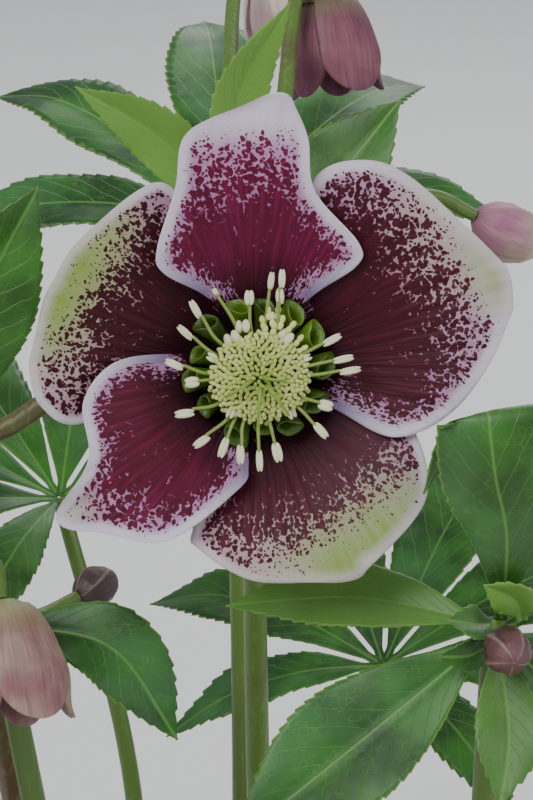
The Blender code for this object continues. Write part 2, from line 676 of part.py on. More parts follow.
def basal_leaf(name, form, root, finish):
    """A leaf from the crown: its stalk and seven toothed leaflets that spread from one hub."""
    degrees, hub_radius, hub_height, size, rise = form
    angle = math.radians(degrees)
    outward = Vector((math.cos(angle), math.sin(angle), 0))
    hub = outward * hub_radius * MM + Vector((0, 0, hub_height * MM))
    straight = root_path(root)
    bend = straight[2].lerp(hub, 0.45) - outward * 9 * MM + Vector((0, 0, 16 * MM))
    stalk = straight[:1] + smooth_path([straight[2], bend, hub], 7)
    facing_up = Vector((0, 0, 1))
    pieces = [tube(stalk, [STALK_RADIUS] * len(stalk), 5)]
    slope = (outward + facing_up * rise).normalized()
    across = facing_up.cross(outward)
    facing = slope.cross(across)
    pieces.append(round_body(hub - facing * HUB_THICK / 2, facing, HUB_THICK, [HUB_RADIUS] * 2, 14))
    for turn, length, width, segments in LEAFLETS:
        ray = slope * math.cos(math.radians(turn)) + across * math.sin(math.radians(turn))
        reach = length * size * MM
        path = [hub + ray * (HUB_RADIUS * 0.6 + reach * part) + facing_up * drop * reach
                for part, drop in ((0.0, 0.0), (0.35, 0.05), (0.7, 0.01), (1.0, -0.14))]
        pieces.append(leaf_blade(path, width * size * MM, facing, segments, fold=0))
    return finish_node(name, pieces, finish)


def main():
    for thing in list(bpy.data.objects):
        bpy.data.objects.remove(thing)
    clay = material("terracotta", (0.55, 0.24, 0.13), 0.85)
    soil = material("compost", (0.055, 0.035, 0.022), 0.95)
    leaf = material("leaf", (0.07, 0.19, 0.045), 0.45)
    stem = material("stem", (0.2, 0.26, 0.1), 0.5)
    petal = material("sepal", (0.32, 0.03, 0.12), 0.5)
    nectar = material("nectary", (0.33, 0.48, 0.1), 0.4)
    anther = material("anther", (0.86, 0.84, 0.55), 0.6)
    carpel = material("carpel", (0.62, 0.72, 0.4), 0.45)
    bud_mauve = material("bud", (0.38, 0.2, 0.24), 0.5)
    bloom_pink = material("side_bloom", (0.6, 0.4, 0.42), 0.5)

    basal_roots = []
    for degrees, *_ in BASAL_LEAVES:
        angle = math.radians(degrees)
        basal_roots.append((BASAL_ROOT_RADIUS * math.cos(angle), BASAL_ROOT_RADIUS * math.sin(angle)))
    roots = [(root, STALK_RADIUS) for root in basal_roots]
    roots += [(form["root"], STEM_RADIUS) for form in STEMS.values()]
    pot(clay)
    compost(roots, soil)
    for number, (form, root) in enumerate(zip(BASAL_LEAVES, basal_roots), start=1):
        basal_leaf(f"basal_leaf_{number}", form, root, leaf)
    ends = {name: leafy_stem(name, form, leaf if name != "flower_stem" else stem)
            for name, form in STEMS.items()}
    for name, form in SEPALS.items():
        sepal(name, form, petal)
    nectaries(nectar)
    stamens(anther)
    carpels(carpel)
    for name, form in BUDS.items():
        bud(name, ends[form["stem"]][form["pedicel"]], form, bud_mauve)
    for name, form in BLOOMS.items():
        bloom(name, ends[form["stem"]][form["pedicel"]], form, bloom_pink, anther)


main()
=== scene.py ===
# %% [markdown]
# # A garden hellebore in flower
# A hellebore carries its flowers on leafy stems, and its big fan-shaped leaves rise straight from the
# crown on stalks of their own. The construction model gives the place and size of every stem, leaf and
# sepal. This lesson dresses it with finer surfaces, real leaf edges, the packed heart of the flower and a
# finish for every surface. The model's box is kept, so that the dressed plant can be measured against it.

# %% Load the construction model
import math

import bpy
import numpy as np
from mathutils import Matrix, Vector


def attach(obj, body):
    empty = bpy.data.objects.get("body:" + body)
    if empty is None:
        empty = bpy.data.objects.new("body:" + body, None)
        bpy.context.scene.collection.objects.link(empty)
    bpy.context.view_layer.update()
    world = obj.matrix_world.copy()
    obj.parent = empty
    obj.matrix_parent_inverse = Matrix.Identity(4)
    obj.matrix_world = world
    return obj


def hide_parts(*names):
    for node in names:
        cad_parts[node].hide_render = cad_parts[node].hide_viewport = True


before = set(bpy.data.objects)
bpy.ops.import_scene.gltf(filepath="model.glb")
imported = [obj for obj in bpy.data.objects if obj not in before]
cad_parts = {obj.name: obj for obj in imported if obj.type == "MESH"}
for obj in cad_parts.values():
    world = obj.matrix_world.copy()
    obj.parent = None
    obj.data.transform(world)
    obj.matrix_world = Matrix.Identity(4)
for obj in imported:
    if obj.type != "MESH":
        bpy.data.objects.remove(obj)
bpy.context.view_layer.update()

# %% [markdown]
# ## Where things are
# Everything is worked out in millimetres and turned into metres only when a mesh is made. The open flower
# has directions of its own: right, up along its face, and straight out of it towards the viewer. Most
# places on this plant are easiest to give that way, as so much right, up and behind its middle.

# %% Units and the flower's own directions
MM = 0.001
FLOWER_MIDDLE = np.array((0.0, -55.0, 315.0))
FLOWER_TILT = math.radians(22)
RIGHT = np.array((1.0, 0.0, 0.0))
UP = np.array((0.0, math.sin(FLOWER_TILT), math.cos(FLOWER_TILT)))
TOWARD = np.array((0.0, -math.cos(FLOWER_TILT), math.sin(FLOWER_TILT)))
WORLD_UP = np.array((0.0, 0.0, 1.0))


def on_view(places):
    """World places in mm of points given right, up and behind the flower's middle."""
    places = np.asarray(places, float)
    return FLOWER_MIDDLE + places[..., 0:1] * RIGHT + places[..., 1:2] * UP - places[..., 2:3] * TOWARD


def on_flower(across, up, level):
    """World places in mm of points across, up and out of the flower's face."""
    return on_view(np.stack(np.broadcast_arrays(across, up, -np.asarray(level, float)), axis=-1))


def unit(vectors):
    """Vectors at length one."""
    return vectors / np.linalg.norm(vectors, axis=-1, keepdims=True)


print("the flower's middle is", FLOWER_MIDDLE[2], "mm above the surface")

# %% [markdown]
# ## Camera, floor and light
# The photograph looks straight into the open flower with a long lens, which keeps the near and far sepals
# at one scale. The floor is a plain pale sheet. A large soft lamp from the upper left stands for an
# overcast sky, a weaker one from the right keeps the shadows open, and one from behind lights the edges.

# %% Camera
PIXEL = 0.15
CAMERA_DISTANCE = 450.0
# Where the picture's middle lies, right and up of the flower's, in pixels.
AIM_PIXELS = (11.5, -30)
aim = FLOWER_MIDDLE + (RIGHT * AIM_PIXELS[0] + UP * AIM_PIXELS[1]) * PIXEL
camera = bpy.data.objects.new("camera", bpy.data.cameras.new("camera"))
bpy.context.scene.collection.objects.link(camera)
camera.data.lens = 135
camera.data.sensor_width = 36
place = (aim + TOWARD * CAMERA_DISTANCE) * MM
turned_axes = np.column_stack([RIGHT, UP, TOWARD, place])
camera.matrix_world = Matrix([*turned_axes.tolist(), [0, 0, 0, 1]])
bpy.context.scene.camera = camera
print("camera at", np.round(place, 3))

# %% Floor and lamps
FLOOR_HALF = 1.6
LAMPS = {
    "sky_lamp": dict(place=(-0.7, -0.9, 1.5), size=1.1, power=21),
    "side_lamp": dict(place=(1.1, -0.5, 0.8), size=0.9, power=6),
    "back_lamp": dict(place=(0.3, 1.1, 1.0), size=0.9, power=7),
}
floor_mesh = bpy.data.meshes.new("floor")
corners = np.array([(-1, -1, 0), (1, -1, 0), (1, 1, 0), (-1, 1, 0)]) * FLOOR_HALF
floor_mesh.from_pydata(corners.tolist(), [], [(0, 1, 2, 3)])
floor = bpy.data.objects.new("floor", floor_mesh)
bpy.context.scene.collection.objects.link(floor)
for name, form in LAMPS.items():
    light = bpy.data.lights.new(name, "AREA")
    light.size, light.energy = form["size"], form["power"]
    lamp = bpy.data.objects.new(name, light)
    bpy.context.scene.collection.objects.link(lamp)
    lamp.location = form["place"]
    ahead = Vector(tuple(FLOWER_MIDDLE * MM)) - Vector(form["place"])
    lamp.rotation_euler = ahead.to_track_quat("-Z", "Y").to_euler()
world = bpy.data.worlds.new("soft daylight")
world.use_nodes = True
world.node_tree.nodes["Background"].inputs["Color"].default_value = (0.93, 0.96, 1.0, 1)
world.node_tree.nodes["Background"].inputs["Strength"].default_value = 0.42
bpy.context.scene.world = world
print(len(LAMPS), "soft lamps and a pale world")

# %% [markdown]
# ## Paths
# A leaf, a stem and the margin of a sepal all follow a smooth line through a few given points.
# A Catmull-Rom curve passes through every point that it is given, which makes the points easy to choose.
# Its own steps are uneven, so the points are then spread evenly along its length.

# %% Smooth paths
CURVE_STEPS = 12


def smooth_path(points, count):
    """Points spread evenly along a smooth curve through the given ones."""
    points = np.asarray(points, float)
    ends = np.vstack([2 * points[0] - points[1], points, 2 * points[-1] - points[-2]])
    t = (np.arange(CURVE_STEPS) / CURVE_STEPS)[:, None]
    curve = [0.5 * (2 * b + (c - a) * t + (2 * a - 5 * b + 4 * c - d) * t**2 + (3 * b - a - 3 * c + d) * t**3)
             for a, b, c, d in zip(ends, ends[1:], ends[2:], ends[3:])]
    curve = np.vstack([*curve, points[-1:]])
    reach = np.concatenate([[0], np.cumsum(np.linalg.norm(np.diff(curve, axis=0), axis=1))])
    targets = np.linspace(0, reach[-1], count)
    return np.column_stack([np.interp(targets, reach, column) for column in curve.T])


def path_length(path):
    return float(np.linalg.norm(np.diff(path, axis=0), axis=1).sum())


def carried_sides(path, facing):
    """Travel, side and upward directions at each point, the side carried along without twisting."""
    ahead = unit(np.gradient(path, axis=0))
    side = np.cross(ahead[0], facing)
    sides = []
    for direction in ahead:
        side = unit(side - direction * np.dot(side, direction))
        sides.append(side)
    sides = np.array(sides)
    return ahead, sides, np.cross(sides, ahead)


sample = smooth_path([(0, 0), (5, 4), (10, 0)], 20)
print("a path through three points is", round(path_length(sample), 2), "mm")

# %% [markdown]
# ## Sheets
# Sepals, leaves and bracts are thin sheets. Each is made as two grids of points, a front and a back, with
# a strip of faces round the rim, so that it is a closed body with a real thickness. Two grids also let
# the sheet grow thin towards its margin, as a living leaf does. Each point carries numbers for its
# finish, called marks here, such as how far across the leaf it lies.

# %% A closed sheet from a front and a back grid
def sheet_faces(front, back):
    """Corner numbers of the quads that close a sheet, turned outwards."""
    rows, columns = front.shape[:2]
    count = rows * columns
    index = np.arange(count).reshape(rows, columns)
    quads = np.stack([index[:-1, :-1], index[:-1, 1:], index[1:, 1:], index[1:, :-1]], -1).reshape(-1, 4)
    rim = np.concatenate([index[0], index[1:, -1], index[-1, -2::-1], index[-2:0:-1, 0]])
    after = np.roll(rim, -1)
    edge = np.stack([after, rim, rim + count, after + count], -1)
    faces = np.concatenate([quads, quads[:, ::-1] + count, edge])
    normal = np.cross(front[:-1, 1:] - front[:-1, :-1], front[1:, :-1] - front[:-1, :-1])
    outward = (front - back)[:-1, :-1]
    return faces if (normal * outward).sum() > 0 else faces[:, ::-1]


def sheet_part(front, back, surface_map, marks):
    """A sheet ready to be joined into a piece: its marks are given once and serve both sides."""
    both = {key: np.tile(np.broadcast_to(value, front.shape[:2]).ravel(), 2) for key, value in marks.items()}
    both["under"] = np.repeat([0.0, 1.0], front.shape[0] * front.shape[1])
    return dict(points=np.concatenate([front.reshape(-1, 3), back.reshape(-1, 3)]),
                faces=sheet_faces(front, back).tolist(),
                map=np.tile(surface_map.reshape(-1, 2), (2, 1)), marks=both)


sample = np.zeros((3, 3, 3))
print("a sheet of 2 by 2 quads closes with", len(sheet_faces(sample, sample)), "faces")


# %% Pieces from parts
def settle(piece, replaced):
    """Attach a piece to the root and hide the construction piece that it stands in for, if any."""
    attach(piece, "root")
    if replaced:
        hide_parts(replaced)
    print(piece.name, sum(len(face.vertices) - 2 for face in piece.data.polygons), "triangles")


def mesh_piece(name, parts, finish, replaced):
    """One object from parts, each with points in mm, faces, a surface map in mm and named marks."""
    starts = np.cumsum([0, *(len(part["points"]) for part in parts)]).tolist()
    faces = [[corner + start for corner in face]
             for part, start in zip(parts, starts) for face in part["faces"]]
    points, maps = (np.concatenate([part[key] for part in parts]) for key in ("points", "map"))
    mesh = bpy.data.meshes.new(name)
    mesh.from_pydata((points * MM).tolist(), [], faces)
    corner = np.empty(len(mesh.loops), np.int32)
    mesh.loops.foreach_get("vertex_index", corner)
    mesh.uv_layers.new(name="surface").data.foreach_set("uv", maps[corner].astype(np.float32).ravel())
    for key in sorted(set.intersection(*(set(part["marks"]) for part in parts))):
        values = np.concatenate([part["marks"][key] for part in parts])
        mesh.attributes.new(key, "FLOAT", "POINT").data.foreach_set("value", values.astype(np.float32))
    mesh.shade_smooth()
    mesh.materials.append(finish)
    piece = bpy.data.objects.new(name, mesh)
    bpy.context.scene.collection.objects.link(piece)
    settle(piece, replaced)


print("a piece keeps the marks that all its parts share")

# %% [markdown]
# ## Mixing finishes
# Every finish is a small network of shader nodes. A value in it is wrapped in a small class, so that
# ordinary arithmetic adds the nodes that work it out. A few short functions do soft steps between two
# values, colour mixes and noise. What is the same all over a surface is set on the shader itself.

# %% Values in a finish
def add(tree, kind, inputs=None, **settings):
    """A node with its settings, its inputs linked or set."""
    made = tree.nodes.new(kind)
    for key, value in settings.items():
        setattr(made, key, value)
    for key, value in (inputs or {}).items():
        value = getattr(value, "socket", value)
        if isinstance(value, bpy.types.NodeSocket):
            tree.links.new(value, made.inputs[key])
        else:
            made.inputs[key].default_value = value
    return made


class Value:
    """A value in a finish. Arithmetic with it adds nodes."""

    def __init__(self, tree, kind, inputs=None, output=0, **settings):
        self.tree = tree
        self.socket = add(tree, kind, inputs, **settings).outputs[output]

    def maths(self, operation, *values):
        return Value(self.tree, "ShaderNodeMath", dict(enumerate(values)), operation=operation)

    def __add__(self, other):
        return self.maths("ADD", self, other)

    def __sub__(self, other):
        return self.maths("SUBTRACT", self, other)

    def __rsub__(self, other):
        return self.maths("SUBTRACT", other, self)

    def __mul__(self, other):
        return self.maths("MULTIPLY", self, other)

    def __abs__(self):
        return self.maths("ABSOLUTE", self)


print("a value knows", sum(name.startswith("__") for name in vars(Value)), "special names")


# %% Shader helpers
def highest(first, second):
    """The greater of a number or value and a value."""
    return second.maths("MAXIMUM", first, second)


def band(value, low, high):
    """A soft step from 0 at low to 1 at high."""
    inputs = {"Value": value, "From Min": low, "From Max": high}
    return Value(value.tree, "ShaderNodeMapRange", inputs, "Result", interpolation_type="SMOOTHSTEP")


def blend(amount, first, second):
    """A colour between two others."""
    first, second = [(*colour, 1) if isinstance(colour, tuple) else colour for colour in (first, second)]
    return Value(amount.tree, "ShaderNodeMix", {0: amount, 6: first, 7: second}, 2, data_type="RGBA")


def noise(places, scale, detail=2.0, output=0):
    """Soft random clouds from 0 to 1, or with output 1 a random direction."""
    inputs = {"Vector": places, "Scale": scale, "Detail": detail}
    return Value(places.tree, "ShaderNodeTexNoise", inputs, output)


def moved(places, by):
    """Places with a direction added."""
    return Value(places.tree, "ShaderNodeVectorMath", {0: places, 1: by}, operation="ADD")


def stretched(places, factors):
    """Places scaled along each axis."""
    return Value(places.tree, "ShaderNodeVectorMath", {0: places, 1: factors}, operation="MULTIPLY")


def start_finish(name):
    """A new material and the places on its piece in mm."""
    finish = bpy.data.materials.new(name)
    finish.use_nodes = True
    places = Value(finish.node_tree, "ShaderNodeTexCoord", output="Object")
    return finish, Value(finish.node_tree, "ShaderNodeVectorMath", {0: places, 3: 1 / MM}, operation="SCALE")


def marks_of(finish, *names):
    """Numbers carried by the piece's points."""
    tree = finish.node_tree
    return [Value(tree, "ShaderNodeAttribute", output="Fac", attribute_name=name) for name in names]


def surface_of(finish):
    """The piece's own surface map, in mm."""
    return Value(finish.node_tree, "ShaderNodeUVMap", uv_map="surface")


def end_finish(finish, colour, height, depth, **settings):
    """Give the shader its colour, a fine relief whose depth is in metres, and what is the same all over."""
    tree = finish.node_tree
    shader = tree.nodes["Principled BSDF"]
    bump = add(tree, "ShaderNodeBump", {"Height": height, "Distance": depth, "Strength": 1.0})
    tree.links.new(bump.outputs[0], shader.inputs["Normal"])
    tree.links.new(colour.socket, shader.inputs["Base Color"])
    for name, value in settings.items():
        shader.inputs[SHADER_SOCKETS[name]].default_value = value
    return finish


SHADER_SOCKETS = dict(
    roughness="Roughness", specular="Specular IOR Level", sheen="Sheen Weight", sheen_tint="Sheen Tint",
    depth_light="Subsurface Weight", depth_reach="Subsurface Radius")
print(len(SHADER_SOCKETS), "settings can be given to a finish")

# %% [markdown]
# ## The leaf finish
# A hellebore leaf is leathery and half glossy. Its midrib and side veins are paler, a fine net of veins
# lies between them, and its toothed margin is yellower. The marks on the points say how far across and
# along the leaf each place is, so the veins follow the leaf however it bends.

# %% Leaf finish
LEAF_DARK = (0.009, 0.050, 0.006)
LEAF_MID = (0.034, 0.155, 0.016)
# Painted sheen: the blue-grey of sky light reflected by the glossy blade, mixed into the colour.
LEAF_PAINTED_SHEEN = (0.058, 0.165, 0.062)
LEAF_YOUNG = (0.18, 0.375, 0.058)
VEIN_PALE = (0.17, 0.36, 0.07)
MARGIN_PALE = (0.22, 0.38, 0.05)
LEAF_UNDER = (0.085, 0.19, 0.035)
SIDE_VEINS = 11.0
VEIN_SLANT = 2.6


def leaf_finish():
    """Leathery green with midrib, side veins, net and margin; the mark young says how yellow a blade is."""
    finish, in_mm = start_finish("leaf_green")
    over, along, under, young = marks_of(finish, "over", "along", "under", "young")
    surface = surface_of(finish)
    aside = abs(over)
    midrib = 1.0 - band(abs(Value(finish.node_tree, "ShaderNodeSeparateXYZ", {0: surface})), 0.05, 0.38)
    phase = (along - aside * (VEIN_SLANT / SIDE_VEINS)) * SIDE_VEINS + noise(in_mm, 0.22) * 0.5
    side_vein = band(abs(phase.maths("FRACT", phase) - 0.5), 0.455, 0.5) * (1.0 - band(aside, 0.7, 1.0))
    edges = Value(finish.node_tree, "ShaderNodeTexVoronoi",
                  {"Vector": moved(surface, noise(in_mm, 0.5, output=1)), "Scale": 0.85}, "Distance",
                  feature="DISTANCE_TO_EDGE")
    net = (1.0 - band(edges, 0.0, 0.09)) * band(noise(in_mm, 0.35, 1.0), 0.45, 0.62)
    body = blend(band(noise(in_mm, 0.09, 3.0), 0.35, 0.68), LEAF_DARK, LEAF_MID)
    # The soft bluish cloud patches are painted sheen, a sky reflection laid into the colour; the other mixes
    # are the leaf's own colour.
    for amount, colour in (
            (band(noise(in_mm, 0.055), 0.4, 0.7) * 0.55, LEAF_PAINTED_SHEEN), (young, LEAF_YOUNG),
            (net * 0.16, VEIN_PALE), (side_vein * 0.3, VEIN_PALE), (midrib * 0.45, VEIN_PALE),
            (band(aside, 0.93, 1.0) * 0.45, MARGIN_PALE), (under * 0.75, LEAF_UNDER)):
        body = blend(amount, body, colour)
    veins = highest(net * 0.12, highest(side_vein, midrib))
    return end_finish(finish, body, 1.0 - veins, 0.00004, roughness=0.4, specular=0.35, sheen=0.03,
                      sheen_tint=(0.75, 0.85, 1.0, 1))


leaf_green = leaf_finish()
print("leaf finish with", len(leaf_green.node_tree.nodes), "nodes")

# %% [markdown]
# ## Leaf blades
# A leaflet and a bract are the same thing to a modeller: a long oval along a bent path, folded a little
# along its midrib, with forward-pointing teeth on its margin. The teeth are real geometry, cut into the
# outline as a saw-tooth that leans forwards. The sides swell between the veins, the midrib lies in a
# groove, and the margin waves a little and is thinner than the middle.

# %% A toothed blade
BLADE_THICK = 0.62
TOOTH_LENGTH = 1.9
STATIONS_A_TOOTH = 4
LEAST_HALF_STALK = 0.9
LEAST_HALF_TIP = 0.12


def leaf_blade(path, width, facing, fold, columns, young=0.0, tooth=TOOTH_LENGTH, bite=0.34, wave=0.35,
               seed=0):
    """A blade along a path of points in mm. The tooth length, its bite and the wave are in mm too."""
    teeth = max(6, round(path_length(smooth_path(path, 40)) / tooth))
    stations = teeth * STATIONS_A_TOOTH + 1
    centres = smooth_path(path, stations)
    ahead, side, lift = carried_sides(centres, facing)
    along = np.linspace(0, 1, stations)
    half = width / 2 * np.sin(math.pi * along**1.1) ** 1.1
    half = np.maximum(half, np.where(along < 0.5, LEAST_HALF_STALK, LEAST_HALF_TIP))
    over = np.linspace(-1, 1, columns)
    over = np.sign(over) * np.abs(over) ** 0.85
    draw = np.random.default_rng(seed)
    saw = (np.arange(stations) % STATIONS_A_TOOTH) / (STATIONS_A_TOOTH - 1)
    strength = np.clip((along - 0.16) / 0.2, 0, 1) * np.clip((1 - along) / 0.14, 0, 1)
    jitter = draw.uniform(0.6, 1.25, (2, teeth + 1)).repeat(STATIONS_A_TOOTH, axis=1)[:, :stations]
    aside = np.abs(over)
    margin = aside**7
    chosen = (over > 0).astype(int)
    cut = ((1 - saw) * strength * jitter)[chosen].T
    along, arch = along[:, None], np.sin(math.pi * along)[:, None]
    across = over * half[:, None] - np.sign(over) * margin * bite * cut
    forward = margin * (1 - cut) * bite * 0.9 * strength[:, None]
    phase = draw.uniform(0, math.tau, 2)
    waves = wave * aside**3 * np.sin(along * 17 + phase[chosen]) * arch
    swell = 0.05 * np.sin(math.pi * (along * SIDE_VEINS - aside * VEIN_SLANT)) ** 2 * (1 - aside**4) * arch
    groove = 0.2 * np.exp(-(across / 0.7) ** 2) * np.clip(half / 3, 0, 1)[:, None]
    height = half[:, None] * fold * aside + waves + swell - groove
    middle = (centres[:, None] + side[:, None] * across[..., None] + lift[:, None] * height[..., None]
              + ahead[:, None] * forward[..., None])
    thick = BLADE_THICK * (1 - 0.6 * aside**6) * np.clip(half / 1.6, 0.55, 1)[:, None] / 2
    offset = lift[:, None] * thick[..., None]
    surface = np.stack(np.broadcast_arrays(across, along * path_length(centres)), -1)
    marks = dict(over=over, along=along, young=young + draw.uniform(-0.06, 0.06))
    return sheet_part(middle + offset, middle - offset, surface, marks)


print("a blade of 60 mm has", round(60 / TOOTH_LENGTH), "teeth on each side")

# %% [markdown]
# ## Leafy flower stems
# Each flower stem rises from the compost, bends, and ends in a whorl of bracts, where the pedicels of its
# flowers and buds begin. The roots and bends are places in the world. Everything from the whorl on is
# given as seen from the camera, because that is where the photograph shows it. A bract has its path, its
# width and the direction that it faces, and young says how yellow each one is.

# %% The stems' own places
STEMS = {
    "flower_stem": dict(
        root=(-22, 4), bend=(-40, -10, 200), whorl=(-47, -12, 14), young=(0.1, 0.0, 0.1),
        pedicels=[[(-38, -8.5, 14), (-31, -4.5, 13), (-24, -6.7, 13), (-10, -3, 9.5), (0, 0, 5)]],
        bracts=[
            ([(-46, -9, 14), (-42, 10, 9), (-33, 28, 6)], 17, (0.2, 0.1, 0.95)),
            ([(-48, -12, 14), (-62, -5, 20), (-82, -12, 22)], 15, (0.1, 0.8, 0.6)),
            ([(-47, -11, 15), (-56, 8, 30), (-64, 20, 46)], 14, (-0.2, 0.6, 0.7)),
        ]),
    "right_stem": dict(
        root=(22, -14), bend=(34, -52, 200), whorl=(36, -39, 0), young=(0.36, 0.03, 0.25, 0.1, 0.1, 0.05),
        folds={3: -0.1},
        pedicels=[[(36.5, -40, -3)]],
        bracts=[
            ([(33, -36, 1), (15.7, -34.6, 5), (-4.5, -35.7, 4)], 11.5, (0, 0.5, 0.85)),
            ([(33, -42, 1), (18, -54, 0), (-4, -71, -5)], 19.5, (-0.2, 0.3, 0.9)),
            ([(36.7, -44, 1), (37.8, -54, -3), (36.3, -65, -5)], 10.5, (0, 0.2, 0.95)),
            ([(39, -34, -1), (37, -25, -10), (34.9, -16, -16.5), (33.9, -9.6, -19), (33.6, -6.6, -18.9),
              (33.2, -6.5, -16.5), (31.4, -8.2, -14.4), (27.6, -11.8, -13), (24.6, -18.2, -12.2)],
             16.5, (0, 0.1, 0.98)),
            ([(41, -38, -1), (54, -32, 3), (70, -38, 6)], 14, (0.1, 0.6, 0.75)),
            ([(40, -43, 0), (52, -56, 0), (60, -74, -2)], 15, (0.2, 0.3, 0.9)),
        ]),
    "back_stem": dict(
        root=(2, 18), bend=(0, 12, 220), whorl=(-0.8, 20, 30), young=(0.6, 0.75, 0.15, 0.1, 0.1),
        pedicels=[
            [(4, 40, 40), (6.5, 62, 52), (10, 71.5, 57), (11.2, 65.4, 58)],
            [(14, 26, 36), (28, 29, 42), (36, 26, 45)],
            [(-4, 40, 52), (-4, 66, 76), (0, 79.5, 83), (2.5, 74.5, 86)],
        ],
        bracts=[
            ([(-3, 22, 29), (-14, 36, 27), (-28.5, 45, 24)], 10, (-0.3, 0.4, 0.85)),
            ([(-2, 24, 27), (-3, 42, 24), (5.5, 58, 20)], 9.5, (0.3, 0.1, 0.95)),
            ([(2, 23, 28), (12, 30, 27), (23, 43, 25)], 15, (-0.1, 0.3, 0.95)),
            ([(3, 17, 36), (18, 10, 62), (28, 4, 84)], 14, (0, 0.9, 0.4)),
            ([(-4, 18, 36), (-18, 12, 58), (-30, 6, 78)], 14, (0, 0.9, 0.4)),
        ]),
    "left_stem": dict(
        root=(-12, -20), bend=(-28, -46, 190), whorl=(-40, -40, 16), young=(0.0, 0.0, 0.1),
        pedicels=[
            [(-44, -33, 13), (-43, -29, 8), (-39.5, -29.5, 5), (-38.5, -34.5, 4)],
            [(-33.5, -38.5, 23), (-28.6, -36, 28)],
        ],
        bracts=[
            ([(-37, -38, 16), (-22.5, -42.8, 14), (-12, -57, 13)], 13.5, (0.1, 0.4, 0.9)),
            ([(-43, -41, 17), (-58, -42, 22), (-74, -54, 22)], 14, (-0.1, 0.6, 0.75)),
            ([(-42, -44, 16), (-46, -58, 14), (-44, -74, 10)], 13, (0, 0.2, 0.95)),
        ]),
}
print(sum(len(form["bracts"]) for form in STEMS.values()), "bracts on", len(STEMS), "stems")

# %% Bracts
BRACT_FOLD = 0.22
BRACT_COLUMNS = 17
BRACT_START = 0.3


def view_facing(direction):
    """World direction of one given right, up and towards the viewer."""
    return unit(np.array(direction) @ np.array([RIGHT, UP, TOWARD]))


def seed_of(name, number):
    """A whole number for seeding that is the same on every run."""
    return sum(ord(letter) for letter in name) * 10 + number


for name, form in STEMS.items():
    whorl = on_view(form["whorl"])
    parts = []
    for number, (path, width, facing) in enumerate(form["bracts"]):
        places = on_view(path)
        places[0] = whorl + (places[0] - whorl) * BRACT_START
        fold = form.get("folds", {}).get(number, BRACT_FOLD)
        parts.append(leaf_blade(places, width, view_facing(facing), fold, BRACT_COLUMNS,
                                form["young"][number], seed=seed_of(name, number)))
    mesh_piece(name + "_bracts", parts, leaf_green, name)

# %% [markdown]
# Three small bracts cup the round bud on the right stem. They are the youngest leaves in the picture, and
# one is the yellowest.

# %% Small bracts round the right bud
SMALL_BRACTS = [
    ([(36, -38, 1), (33, -38, -3.5), (28.5, -37.2, -5)], 6.5, (0.1, 0.4, 0.9), 0.1),
    ([(36, -40.5, 1), (32, -42.5, -3.0), (27.2, -42.6, -4.5)], 5.0, (0.1, -0.2, 0.95), 0.05),
    ([(40, -37.5, -1), (38.5, -34, -5), (33.8, -31.8, -7)], 7.0, (0.0, -0.3, 0.95), 0.65),
]
parts = [leaf_blade(on_view(path), width, view_facing(facing), BRACT_FOLD, BRACT_COLUMNS, young, tooth=1.2,
                    bite=0.25, wave=0.2, seed=number)
         for number, (path, width, facing, young) in enumerate(SMALL_BRACTS)]
mesh_piece("right_stem_small_bracts", parts, leaf_green, "right_stem")

# %% [markdown]
# ## Fan leaves from the crown
# The big leaves stand on their own stalks round the plant, each with seven leaflets that spread from one
# point like fingers and droop towards their tips. They use the same blade as the bracts, with fewer
# columns, because there are many more of them.

# %% Fan leaves
# The direction of each leaf, the radius and height of its hub, its size and how much it rises outwards.
BASAL_LEAVES = [
    (10, 88, 190, 1.1, -0.22), (62, 52, 214, 1.1, 0.5), (95, 62, 298, 1.05, 0.5), (130, 58, 250, 1.05, 0.5),
    (174, 86, 282, 1.0, -0.22), (212, 88, 204, 1.08, -0.22), (252, 84, 152, 0.9, -0.22),
    (292, 88, 186, 0.95, -0.22), (334, 92, 160, 1.1, -0.22),
]
BASAL_ROOT_RADIUS = 36
# The angle, length and width of each leaflet, and how far it droops at shares of its length.
LEAFLETS = [
    (0, 66, 19), (-41, 60, 17), (41, 60, 17), (-81, 50, 14), (81, 50, 14), (-121, 37, 11), (121, 37, 11),
]
LEAFLET_DROOP = ((0.008, 0.0), (0.37, 0.05), (0.71, 0.01), (1.0, -0.13))
LEAFLET_EXTRA = 2.7
LEAFLET_COLUMNS = 9
LEAFLET_FOLD = 0.12
# How far inwards and up a stalk bows from the straight line to its hub.
STALK_BOW = (9, 16)
SOIL_TOP = 115.0
ROOT_DEPTH = 22.0


def root_path(root):
    """The straight lower end of a stem, from the foot of its hole to just above the compost."""
    return [(*root, SOIL_TOP - ROOT_DEPTH), (*root, SOIL_TOP - ROOT_DEPTH / 2), (*root, SOIL_TOP + 8)]


stalks = []
for number, (degrees, hub_radius, hub_height, size, rise) in enumerate(BASAL_LEAVES, start=1):
    angle = math.radians(degrees)
    outward = np.array((math.cos(angle), math.sin(angle), 0.0))
    hub = outward * hub_radius + WORLD_UP * hub_height
    slope = unit(outward + WORLD_UP * rise)
    across = np.cross(WORLD_UP, outward)
    parts = []
    for index, (turn, length, width) in enumerate(LEAFLETS):
        ray = slope * math.cos(math.radians(turn)) + across * math.sin(math.radians(turn))
        reach = length * size + LEAFLET_EXTRA
        places = [hub + (ray * part + WORLD_UP * drop) * reach for part, drop in LEAFLET_DROOP]
        parts.append(leaf_blade(places, width * size, np.cross(slope, across), LEAFLET_FOLD, LEAFLET_COLUMNS,
                                tooth=2.6, bite=0.5, wave=0.5, seed=number * 20 + index))
    mesh_piece(f"basal_leaf_{number}_leaflets", parts, leaf_green, f"basal_leaf_{number}")
    foot, _, above = root_path(outward[:2] * BASAL_ROOT_RADIUS)
    bend = np.array(above) * 0.55 + hub * 0.45 - outward * STALK_BOW[0] + WORLD_UP * STALK_BOW[1]
    stalks.append(np.vstack([[foot], smooth_path([above, bend, hub], 28)]))

